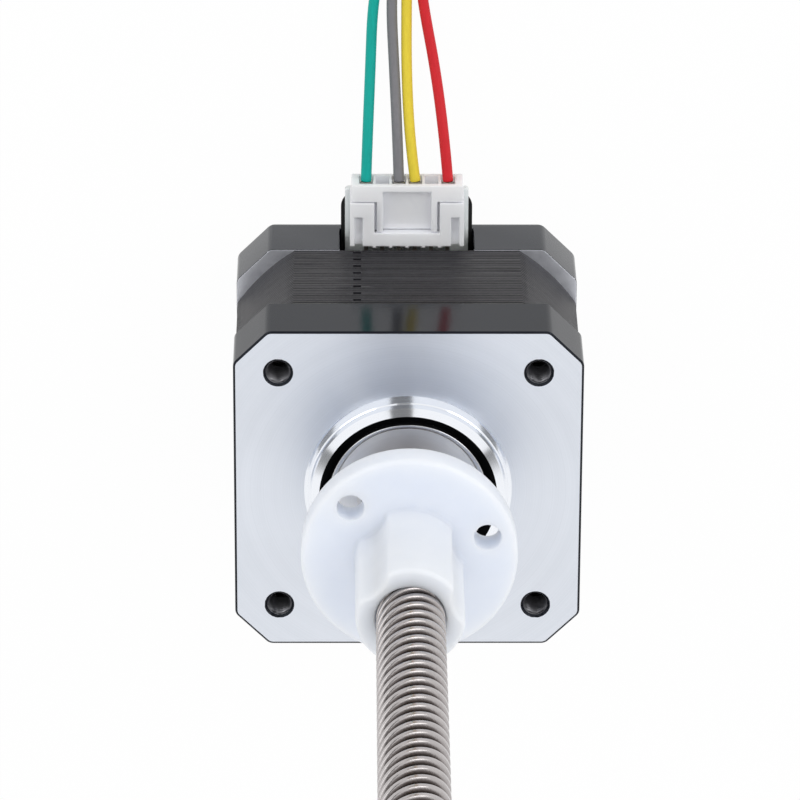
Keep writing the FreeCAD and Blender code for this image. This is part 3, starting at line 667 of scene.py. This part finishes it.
# Front cover
def cover_quarter():
    """A quarter of a cover's outline and its outward normals, from the middle of a side to the next side's.

    It runs along the flat, round an arc, along the corner's bevel, round an arc, and along the flat.
    """
    flat_steps, arc_steps, bevel_steps = 8, 6, 4
    flat_end = body_side - corner_cut - side_edge_radius * (math.sqrt(2) - 1)
    centre = np.array([body_side - side_edge_radius, flat_end])
    along = np.linspace(0, flat_end, flat_steps, endpoint=False)
    flat = np.stack([np.full_like(along, body_side), along], -1)
    out = circle(1.0, np.linspace(0, 45, arc_steps + 1))
    half = np.vstack([flat, centre + side_edge_radius * out])
    half_out = np.vstack([np.tile([1.0, 0.0], (flat_steps, 1)), out])
    mirror = half[::-1, ::-1]
    bevel = np.linspace(half[-1], mirror[0], bevel_steps + 1)[1:-1]
    points = np.vstack([half, bevel, mirror[:-1]])
    normals = np.vstack([half_out, np.tile(out[-1], (len(bevel), 1)), half_out[::-1, ::-1][:-1]])
    return points, normals


def cover_outline():
    """The whole outline and its normals, four quarters of it, and how many points a quarter has."""
    quarter, quarter_out = cover_quarter()
    points = np.vstack([turned_quarter(quarter, k) for k in range(4)])
    normals = np.vstack([turned_quarter(quarter_out, k) for k in range(4)])
    return points, normals, len(quarter)


def tapped_wall(boundary, centre):
    """A tapped hole below its countersink: a V thread whose radius falls and rises along a helix."""
    ray = boundary - centre
    turn = np.arctan2(ray[:, 1], ray[:, 0]) / (2 * np.pi)
    height = np.linspace(-tap_sink, tap_end, tap_rows)[:, None]
    phase = (height / tap_pitch - turn) % 1.0
    ridge = 1 - np.abs(2 * phase - 1)
    grown = np.clip((-tap_sink - height) / tap_sink, 0, 1)
    radius = tap_radius - tap_thread * ridge * grown
    lower = np.full((2, len(ray)), tap_radius - tap_thread)
    height = np.vstack([height, [[tap_end]], [[cover_low]]])
    return sleeve(boundary, centre, np.vstack([radius, lower]), height)


def front_cover():
    """The outline is carried up the side and over the painted rim. Face and back are pierced quarters.

    The boss, the black bevel in it and the bearing's seat are turned about the screw's axis.
    """
    shell = Shell()
    finishes = [cover_paint, bright_face, bevel_paint, tapped_metal, boss_metal]
    painted, bright, black, tapped, polished = range(len(finishes))
    points, normals, quarter = cover_outline()
    side = [
        (cover_edge, cover_low), (0.0, cover_low + cover_edge), (0.0, -face_bevel), (face_bevel, 0.0),
        (paint_rim, 0.0),
    ]
    shell.add(carried(points, normals, side), painted)
    columns = 24
    for k in range(4):
        span = np.arange(k * quarter, (k + 1) * quarter + 1) % len(points)
        turn = np.linspace(90 * k, 90 * (k + 1), columns + 1)
        face = points[span] - paint_rim * normals[span]
        under = points[span] - cover_edge * normals[span]
        centre = turned_quarter(np.array([[hole_place, hole_place]]), k)[0]
        boundary = sector(circle(polish_radius, turn), face)
        shell.add(pierced(boundary, centre, tap_mouth, 0.0), bright)
        sink = np.array([(tap_mouth, 0.0), (tap_radius, -tap_sink)])
        shell.add(sleeve(boundary, centre, sink[:, :1], sink[:, 1:]), painted)
        shell.add(tapped_wall(boundary, centre), tapped)
        back = sector(circle(pilot_radius, turn), under)
        shell.add(pierced(back, centre, tap_radius - tap_thread, cover_low), painted)
    boss = [
        (polish_radius, 0.0), (pilot_radius, 0.0), (pilot_radius, pilot_top - pilot_edge),
        (pilot_radius - pilot_edge, pilot_top), (rim_radius, pilot_top), (rim_radius, rim_low),
        (bevel_radius, boss_top),
    ]
    seat = [
        (bearing_radius, bevel_low), (bearing_radius, bearing_low), (shoulder_radius, bearing_low),
        (shoulder_radius, shoulder_low), (pilot_radius, shoulder_low), (pilot_radius, cover_low),
    ]
    shell.add(revolved(boss, 4 * columns), polished)
    shell.add(revolved([boss[-1], seat[0]], 4 * columns), black)
    shell.add(revolved(seat, 4 * columns), painted)
    closed_piece("front_cover_body", shell, "motor", finishes, ["front_cover"], sharp=28.0)


# Lead screw
def lead_screw():
    """The thread is a grid sheared along its helix: height = row + lead x turn, radius by the row's depth.

    It grows out of the plain shaft, and the tip's bevel cuts its crests. The last column, after a whole turn,
    meets the first one a lead higher.
    """
    columns = 72
    lead = thread_pitch * thread_starts
    turn = np.arange(columns + 1) / columns
    away, depth = np.array(thread_profile).T
    step = np.concatenate([-away[:0:-1], away[:-1]])
    pitches = np.arange(math.floor((thread_first - 1.5 * lead) / thread_pitch), screw_tip / thread_pitch + 1)
    rows = (pitches[:, None] + 0.5 + step / 2) * thread_pitch
    along = np.concatenate([shaft_rows, rows.ravel()])
    thread_cut = np.tile(np.concatenate([depth[:0:-1], depth[:-1]]), len(pitches))
    cut = np.concatenate([np.zeros(len(shaft_rows)), thread_cut])
    height = along[:, None] + lead * turn
    grown = np.clip((height - thread_first) / thread_growth, 0, 1)
    tip_bevel = screw_radius - screw_bevel + np.maximum(screw_tip - height, -screw_bevel / 2)
    radius = np.minimum(screw_radius - thread_depth * cut[:, None] * grown, tip_bevel)
    shell = Shell()
    shell.add(polar(radius, 2 * np.pi * turn, height), loop=False)
    mesh = shell.mesh("threaded_shaft")
    close_mesh(mesh, [(screw_tip, 1), (journal_top, -1)])
    journal = Shell()
    turned_end = [
        (0, journal_low), (journal_radius - journal_bevel, journal_low),
        (journal_radius, journal_low + journal_bevel), (journal_radius, journal_top), (0, journal_top),
    ]
    journal.add(revolved(turned_end, columns=48))
    end = journal.mesh("journal")
    close_mesh(end)
    work = bmesh.new()
    work.from_mesh(mesh)
    work.from_mesh(end)
    work.to_mesh(mesh)
    work.free()
    bpy.data.meshes.remove(end)
    put("threaded_shaft", mesh, "rotor", [screw_metal], ["lead_screw"], sharp=40.0)


# Lead nut
def boss_radius(degrees):
    """The nut boss's outline, as a radius for each angle: a hollow about each hole, a rounded rib, a circle.

    Hollow and rib are circles off the axis. There the radius is the way to the circle's middle times the
    cosine of the angle to it, less half the chord along that ray for a hollow, or plus it for a rib.
    """
    spacing = 360.0 / nut_hole_count
    turn = np.radians(np.abs((degrees - nut_first_hole + spacing / 2) % spacing - spacing / 2))
    reach = nut_hole_circle
    inside = np.clip(nut_hollow_radius ** 2 - (reach * np.sin(turn)) ** 2, 0, None)
    hollow = reach * np.cos(turn) - np.sqrt(inside)
    rib_centre = nut_boss_radius - nut_rib_radius
    gap = nut_hollow_radius + nut_rib_radius
    rib_turn = math.acos((reach ** 2 + rib_centre ** 2 - gap ** 2) / (2 * reach * rib_centre))
    slant = turn - rib_turn
    under = np.clip(nut_rib_radius ** 2 - (rib_centre * np.sin(slant)) ** 2, 0, None)
    rib = rib_centre * np.cos(slant) + np.sqrt(under)
    share = nut_rib_radius / gap
    touch_x = rib_centre * math.cos(rib_turn) * (1 - share) + reach * share
    touch_y = rib_centre * math.sin(rib_turn) * (1 - share)
    touch = math.atan2(touch_y, touch_x)
    return np.where(turn < touch, hollow, np.where(turn < rib_turn, rib, nut_boss_radius))


def nut_boss(degrees, outline):
    """The boss's outline carried up from the flange, eased at its foot and its top, then down the bore.

    The last row is the first one again, on the flange's underside.
    """
    ease = np.radians(np.linspace(0, 90, 7))
    foot = np.stack([nut_foot * (1 - np.sin(ease)), nut_step + nut_foot * (1 - np.cos(ease))], -1)
    brow = np.stack([-nut_edge * (1 - np.cos(ease)), nut_top - nut_edge * (1 - np.sin(ease))], -1)
    wall = np.vstack([foot, [(0.0, level) for level in nut_wall_rows], brow, [(nut_foot, nut_low)]])
    mouth = nut_bore + nut_bore_bevel
    bore = np.array([
        (mouth, nut_top), (nut_bore, nut_top - nut_bore_bevel), (nut_bore, nut_low + nut_bore_bevel),
        (mouth, nut_low),
    ])
    outside = outline + wall[:, :1]
    inside = np.repeat(bore[:, :1], len(outline), 1)
    radius = np.vstack([outside[:-1], inside, outside[-1:]])
    height = np.concatenate([wall[:-1, 1], bore[:, 1], wall[-1:, 1]])
    return polar(radius, np.radians(degrees), height[:, None])


def nut_rim(degrees):
    """The flange's edge: a quarter round at the underside, a straight wall, a quarter round at the top."""
    ease = np.radians(np.linspace(0, 90, 7))
    flat_edge = nut_flange_radius - nut_edge
    low = np.stack([flat_edge + nut_edge * np.sin(ease), nut_low + nut_edge * (1 - np.cos(ease))], -1)
    top = np.stack([flat_edge + nut_edge * np.cos(ease), nut_step - nut_edge * (1 - np.sin(ease))], -1)
    profile = np.vstack([low, top])
    return polar(profile[:, :1], np.radians(degrees), profile[:, 1:])


def lead_nut():
    """Boss and rim run all round. The flange between them is pierced sectors with plain ones between."""
    shell = Shell()
    pitch = 360.0 / nut_columns
    degrees = nut_first_hole + (np.arange(nut_columns) - nut_holed_columns / 2) * pitch
    outline = boss_radius(degrees)
    shell.add(nut_boss(degrees, outline))
    shell.add(nut_rim(degrees))
    inner = circle(outline + nut_foot, degrees)
    outer = circle(nut_flange_radius - nut_edge, degrees)
    wider, deep = np.array(nut_hole_mouth).T
    wall_radius = nut_hole_radius + np.concatenate([wider, wider[::-1]])
    wall_height = np.concatenate([nut_low + deep, nut_step - deep[::-1]])
    third = nut_columns // nut_hole_count
    for k in range(nut_hole_count):
        first = k * third
        holed = np.arange(first, first + nut_holed_columns + 1) % nut_columns
        plain = np.arange(first + nut_holed_columns, first + third + 1) % nut_columns
        centre = circle(nut_hole_circle, nut_first_hole + k * third * pitch)
        boundary = sector(inner[holed], outer[holed])
        shell.add(sleeve(boundary, centre, wall_radius[:, None], wall_height[:, None]))
        for level in (nut_low, nut_step):
            shell.add(pierced(boundary, centre, wall_radius[0], level))
            shell.add(spanned(inner[plain], outer[plain], level), loop=False)
    closed_piece("flanged_nut", shell, "nut", [nut_plastic], ["lead_nut"], sharp=30.0)


# Bearing at the front
def turned_rings(name, profiles, ease, body, finish, node, columns=128):
    """Closed profiles carried round the screw's axis. Their corners are eased, but for the first point."""
    shell = Shell()
    for profile in profiles:
        shell.add(revolved(softened([*profile, profile[0]], ease), columns))
    closed_piece(name, shell, body, [finish], [node])


def front_bearing():
    """The outer ring has a lip at both ends, and a pressed shield lies inside each lip."""
    shield_seats = (bearing_top - shield_sink, bearing_low + shield_sink)
    outer = [
        (bearing_radius, profile_start), (bearing_radius, bearing_top), (lip_radius, bearing_top),
        (lip_radius, shield_seats[0]), (outer_race_radius, shield_seats[0]),
        (outer_race_radius, shield_seats[1]), (lip_radius, shield_seats[1]), (lip_radius, bearing_low),
        (bearing_radius, bearing_low),
    ]
    inner = [
        (inner_race_radius, profile_start), (inner_race_radius, bearing_top), (screw_radius, bearing_top),
        (screw_radius, bearing_low), (inner_race_radius, bearing_low),
    ]
    shields = []
    for low, height in zip(shield_seats, (shield_height, -shield_height)):
        face = low + height
        middle = low + height / 2
        shields.append([
            (outer_race_radius, low), (shield_radius, low), (shield_radius, face), (shield_step[0], face),
            (shield_step[1], middle), (shield_bore, middle), (shield_bore, low),
        ])
    turned_rings(
        "outer_race", [outer], outer_race_ease, "motor", ring_steel,
        "front_bearing_outer_ring",
    )
    turned_rings(
        "inner_race", [inner], inner_race_ease, "rotor", ring_steel,
        "front_bearing_inner_ring", columns=96,
    )
    turned_rings(
        "bearing_shields", shields, shield_ease, "motor", shield_steel,
        "front_bearing_shields",
    )


# Through screws
def through_screws():
    """Head with a hexagon socket, plain shank and a domed tip, by a radius for each height and angle.

    The socket's radius is a hexagon's: half its width over the cosine of the angle from a flat's middle.
    """
    shell = Shell()
    columns = 48
    degrees = np.arange(columns) * 360.0 / columns
    hexagon = 1.0 / np.cos(np.radians((degrees + 30.0) % 60.0 - 30.0))
    tip = [(radius, shank_tip - depth) for radius, depth in tip_dome]
    head = [
        (shank_radius, head_top), (head_radius - head_edge, head_top), (head_radius, head_top - head_edge),
        (head_radius, head_low + head_bevel), (head_radius - head_bevel, head_low), (head_flat, head_low),
    ]
    round_rows = np.array(tip + head)
    socket_rows = np.array([
        (socket_half + socket_bevel, head_low), (socket_half, head_low + socket_bevel),
        (socket_half, head_low + socket_depth), (0.0, head_low + socket_depth + socket_cone),
    ])
    radius = np.vstack([np.repeat(round_rows[:, :1], columns, 1), socket_rows[:, :1] * hexagon])
    height = np.concatenate([round_rows[:, 1:], socket_rows[:, 1:]])
    screw = radius[..., None] * circle(1.0, degrees)
    for x in (-hole_place, hole_place):
        for y in (-hole_place, hole_place):
            shell.add(raised(screw + (x, y), height))
    closed_piece("long_screws", shell, "motor", [fastener_steel], ["through_screws"])


# Pieces whose solids only need softer edges
def merged_copy(node, name, holed=False):
    """A node's mesh with its loose triangles merged and its flat faces joined up again.

    Flat faces with many holes in them are cut into triangles afresh.
    """
    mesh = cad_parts[node].data.copy()
    mesh.name = name
    mesh.materials.clear()
    work = bmesh.new()
    work.from_mesh(mesh)
    bmesh.ops.remove_doubles(work, verts=work.verts[:], dist=weld / 2)
    bmesh.ops.dissolve_limit(work, angle_limit=math.radians(0.5), verts=work.verts[:], edges=work.edges[:])
    if holed:
        many_sided = [face for face in work.faces if len(face.verts) > 4]
        bmesh.ops.triangulate(work, faces=many_sided, ngon_method="EAR_CLIP")
    work.to_mesh(mesh)
    work.free()
    return mesh


def eased_piece(node, name, body, finish, width, holed=False):
    """A node's own shape, with every edge that turns by more than 40 degrees rounded to a width."""
    piece = put(name, merged_copy(node, name, holed), body, [finish], [node], sharp=30.0)
    bevel = piece.modifiers.new("eased_edges", "BEVEL")
    bevel.width = width * millimetre
    bevel.segments = 3
    bevel.limit_method = "ANGLE"
    bevel.angle_limit = math.radians(40)
    bevel.harden_normals = True
    return piece


def rear_cover():
    """The rear cover's solid, painted all over but for the ledge that the sheets lie on."""
    piece = eased_piece("rear_cover", "rear_cover_body", "motor", rear_paint, 0.12)
    faces = piece.data.polygons
    normals = np.empty(3 * len(faces))
    centres = np.empty(3 * len(faces))
    faces.foreach_get("normal", normals)
    faces.foreach_get("center", centres)
    level = np.abs(centres[2::3] - stack_low * millimetre) < ledge_slack * millimetre
    upward = normals[2::3] > 0.9
    faces.foreach_set("material_index", (level & upward).astype(int))
    piece.data.materials.append(ledge_metal)


def stator_sheets():
    """The stack's solid, cut at every sheet, with a fine groove pressed in between the sheets.

    Three cuts make a groove. Its middle row shrinks towards the axis, by less on the round corners.
    """
    mesh = merged_copy("stator_stack", "stator_sheets")
    work = bmesh.new()
    work.from_mesh(mesh)
    pitch = (cover_low - stack_low) / sheet_count
    levels = (cover_low - pitch * np.arange(1, sheet_count)) * millimetre
    flat_limit = (stack_half - stack_slack) * millimetre
    round_limit = (stack_round - round_slack) * millimetre

    def outside(vert):
        x, y, _ = vert.co
        return max(abs(x), abs(y)) > flat_limit or math.hypot(x, y) > round_limit

    for level in levels:
        for shift in (-sheet_groove, 0.0, sheet_groove):
            faces = [face for face in work.faces if all(outside(vert) for vert in face.verts)]
            edges = {edge for face in faces for edge in face.edges}
            verts = {vert for face in faces for vert in face.verts}
            parts = [*verts, *edges, *faces]
            place = (0, 0, level + shift * millimetre)
            bmesh.ops.bisect_plane(work, geom=parts, dist=on_plane, plane_co=place, plane_no=(0, 0, 1))
    work.to_mesh(mesh)
    work.free()
    points = np.empty(3 * len(mesh.vertices))
    mesh.vertices.foreach_get("co", points)
    points = points.reshape(-1, 3)
    x, y, z = points.T
    flat = np.maximum(np.abs(x), np.abs(y)) > flat_limit
    rounded = np.hypot(x, y) > round_limit
    pressed = np.abs(z[:, None] - levels).min(1) < on_plane
    groove = pressed * np.where(flat, sheet_groove, corner_groove * rounded)
    points[:, :2] *= 1 - groove[:, None] / stack_half
    mesh.vertices.foreach_set("co", points.ravel())
    put("stator_sheets", mesh, "motor", [sheet_metal], ["stator_stack"], sharp=20.0)


# Lead set
lead_routes = {
    "green": [
        (-5.0, 28.85, -26.8), (-4.85, 33.6, -27.4), (-4.5, 41.5, -30.8), (-4.2, 50.2, -32.3),
        (-2.93, 56.53, -32.25), (0.75, 61.7, -32.0), (5.41, 64.46, -31.52),
    ],
    "grey": [
        (-1.0, 28.85, -26.8), (-1.15, 33.6, -27.4), (-1.55, 41.5, -30.8), (-2.0, 50.2, -32.2),
        (-1.53, 56.18, -31.6), (1.06, 61.45, -30.65), (5.41, 64.46, -30.18),
    ],
    "yellow": [
        (1.0, 28.85, -26.8), (0.35, 33.6, -27.4), (-0.1, 41.5, -30.8), (-0.1, 50.2, -32.2),
        (-0.07, 55.82, -31.6), (2.14, 60.55, -30.65), (6.09, 63.3, -30.18),
    ],
    "red": [
        (5.0, 28.85, -26.8), (4.6, 33.6, -27.4), (3.5, 41.5, -30.8), (1.83, 50.2, -32.3),
        (1.33, 55.47, -32.25), (2.45, 60.3, -32.0), (6.09, 63.3, -31.52),
    ],
}
tail_routes = {
    "green": [
        (2.17, 70.09, -31.52), (5.55, 74.57, -31.5), (5.14, 79.81, -31.2), (1.78, 83.14, -30.8),
        (-2.3, 83.67, -30.5),
    ],
    "grey": [
        (2.17, 70.09, -30.18), (5.92, 74.41, -30.2), (6.15, 80.08, -30.3), (2.87, 84.56, -30.45),
        (-2.3, 86.17, -30.5),
    ],
    "yellow": [
        (2.84, 68.93, -30.18), (7.22, 73.88, -30.2), (7.79, 80.52, -30.3), (4.21, 86.31, -30.45),
        (-2.3, 88.67, -30.5),
    ],
    "red": [
        (2.84, 68.93, -31.52), (7.59, 73.73, -31.5), (8.81, 80.8, -31.2), (5.31, 87.74, -30.8),
        (-2.3, 91.17, -30.5),
    ],
}
wire_phases = {"green": 225.0, "grey": 135.0, "yellow": 45.0, "red": 315.0}


def coil_points(colour):
    """One wire of the bundle, which winds inwards. Its wires twist half a turn for each turn of the coil."""
    count = coil_turns * coil_steps
    points = []
    for step in range(1, count):
        share = step / count
        turned = 360.0 * coil_turns * share
        phase = math.radians(wire_phases[colour] + 0.5 * turned)
        radius = coil_first_radius + (coil_last_radius - coil_first_radius) * share
        radius += bundle_radius * math.cos(phase)
        angle = math.radians(coil_start + turned)
        x = coil_centre[0] + radius * math.cos(angle)
        y = coil_centre[1] + radius * math.sin(angle)
        points.append((x, y, coil_level + bundle_radius * math.sin(phase)))
    return points


def lead_wire(colour, nodes):
    """A smooth line from the plug, down to the surface, round the coil and into the far plug."""
    route = lead_routes[colour] + coil_points(colour) + tail_routes[colour]
    curve = bpy.data.curves.new("lead_" + colour, "CURVE")
    curve.dimensions = "3D"
    spline = curve.splines.new("NURBS")
    spline.points.add(len(route) - 1)
    for point, place in zip(spline.points, route):
        point.co = (*[part * millimetre for part in place], 1.0)
    spline.order_u = 3
    spline.use_endpoint_u = True
    spline.resolution_u = 8
    curve.bevel_depth = wire_diameter / 2 * millimetre
    curve.bevel_resolution = 4
    curve.use_fill_caps = True
    curve.materials.append(wire_skins[colour])
    wire = bpy.data.objects.new("lead_" + colour, curve)
    bpy.context.collection.objects.link(wire)
    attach(wire, "lead_set")
    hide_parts(*nodes)
    [part * millimetre for part in route[0]]


# Finishes of the nodes that keep their own shape
def paint_nodes():
    """Gives each node inside the motor the finish of what it is made of."""
    finishes = {
        "wave_washer": spring_steel,
        "front_slot_insulator": insulator_plastic,
        "rear_slot_insulator": insulator_plastic,
        "phase_a_windings": copper_wire,
        "phase_b_windings": copper_wire,
        "front_rotor_cup": rotor_metal,
        "rear_rotor_cup": rotor_metal,
        "rotor_magnet": magnet_metal,
        "rotor_spacer": spacer_metal,
        "front_bearing_balls": ring_steel,
        "rear_bearing_balls": ring_steel,
        "rear_bearing_outer_ring": ring_steel,
        "rear_bearing_inner_ring": ring_steel,
        "rear_bearing_shields": shield_steel,
    }
    for node, finish in finishes.items():
        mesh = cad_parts[node].data
        mesh.materials.clear()
        mesh.materials.append(finish)


# Camera, light and floor
def camera():
    """The photograph's view. A long lens, a little above the connector's side of the screw's axis."""
    elevation, azimuth, roll = np.radians((25.43, -0.57, 0.25))
    distance, aside, above = 660.2, -0.96, 10.77
    focal_pixels, picture_pixels = 5506.0, 800.0
    back = np.array([
        math.sin(azimuth) * math.cos(elevation), math.sin(elevation), math.cos(azimuth) * math.cos(elevation)
    ])
    level = np.cross((0.0, 1.0, 0.0), back)
    level /= np.linalg.norm(level)
    upper = np.cross(back, level)
    right = level * math.cos(roll) + upper * math.sin(roll)
    up = upper * math.cos(roll) - level * math.sin(roll)
    place = (aside * right + above * up + distance * back) * millimetre
    view = bpy.data.cameras.new("view")
    view.sensor_width = 36.0
    view.lens = view.sensor_width * focal_pixels / picture_pixels
    holder = bpy.data.objects.new("view", view)
    axes_and_place = np.column_stack([right, up, back, place])
    holder.matrix_world = Matrix(np.vstack([axes_and_place, [0, 0, 0, 1]]).tolist())
    bpy.context.collection.objects.link(holder)
    bpy.context.scene.camera = holder


def floor():
    """A pale floor that shows white, with the object's soft shadow on it."""
    mesh = bpy.data.meshes.new("floor")
    reach = 6.0
    level = cad_box[0][2]
    corners = [(-reach, -reach, level), (reach, -reach, level), (reach, reach, level), (-reach, reach, level)]
    mesh.from_pydata(corners, [], [(0, 1, 2, 3)])
    plate = bpy.data.objects.new("floor", mesh)
    bpy.context.collection.objects.link(plate)
    finish = Finish("floor_white", base_color=(0.9, 0.9, 0.9, 1.0), roughness=0.9, specular_ior_level=0.0)
    glow = finish.node("Emission", {}, {"Strength": 1.0})
    matt = Value(finish, finish.shader.outputs[0])
    both = finish.node("MixShader", {}, {0: 0.97 * finish.seen_directly(), 1: matt, 2: glow})
    finish.join(finish.tree.nodes["Material Output"].inputs["Surface"], both)
    mesh.materials.append(finish.material)


def light():
    """An even white room, and two large soft lamps.

    Metal sees two wide soft boxes with a gap between them, and a dark strip under their outer ends.
    """
    world = bpy.data.worlds.new("room")
    bpy.context.scene.world = world
    world.use_nodes = True
    room = Nodes(world.node_tree)
    x, y, z = room.split(room.node("TexCoord", output="Generated"))
    aside = room.fade(room.math("ABSOLUTE", x - gap_x), *gap_half)
    gap = (1 - aside) * room.fade(y, *gap_y) * room.fade(z, *gap_z)
    under = 1 - room.fade(room.math("ABSOLUTE", y - strip_y), *strip_half)
    strip = under * room.fade(room.math("ABSOLUTE", x), *strip_x) * room.fade(z, *strip_z)
    dark = (gap_dark * gap + strip_dark * strip) * room.node("LightPath", output="Is Glossy Ray")
    white = room_light + (1 - room_light) * room.seen_directly()
    ground = world.node_tree.nodes["Background"]
    room.join(ground.inputs["Color"], (1.0, 1.0, 1.0, 1.0))
    room.join(ground.inputs["Strength"], white - dark)
    for name, place, size, power in lamps:
        lamp = bpy.data.lights.new(name, "AREA")
        lamp.size = size
        lamp.energy = power
        holder = bpy.data.objects.new(name, lamp)
        holder.location = place
        holder.rotation_euler = (-holder.location).to_track_quat("-Z", "Y").to_euler()
        bpy.context.collection.objects.link(holder)


camera()
floor()
light()
bpy.context.scene.view_settings.view_transform = "Standard"

front_cover()
lead_screw()
lead_nut()
front_bearing()
through_screws()
stator_sheets()
rear_cover()
eased_piece("terminal_board", "board", "motor", board_laminate, 0.06)
eased_piece("board_insulator", "board_film", "motor", film_plastic, 0.03)
eased_piece("header_housing", "header_body", "motor", connector_plastic, 0.1)
eased_piece("header_pins", "header_contacts", "motor", tinned_metal, 0.05)
eased_piece("plug_housing", "plug_body", "lead_set", connector_plastic, 0.1, holed=True)
eased_piece("crimp_terminals", "crimps", "lead_set", tinned_metal, 0.05)
eased_piece("coil_tie", "tie", "lead_set", tie_plastic, 0.12)
far_body = eased_piece("far_plug", "far_plug_body", "lead_set", connector_plastic, 0.12)
far_crimps = eased_piece("far_terminals", "far_crimps", "lead_set", tinned_metal, 0.05)
for colour in lead_routes:
    stands_for = ["wire_" + colour, "wire_end_" + colour]
    if colour == "green":
        stands_for.append("lead_coil")
    lead_wire(colour, stands_for)
paint_nodes()
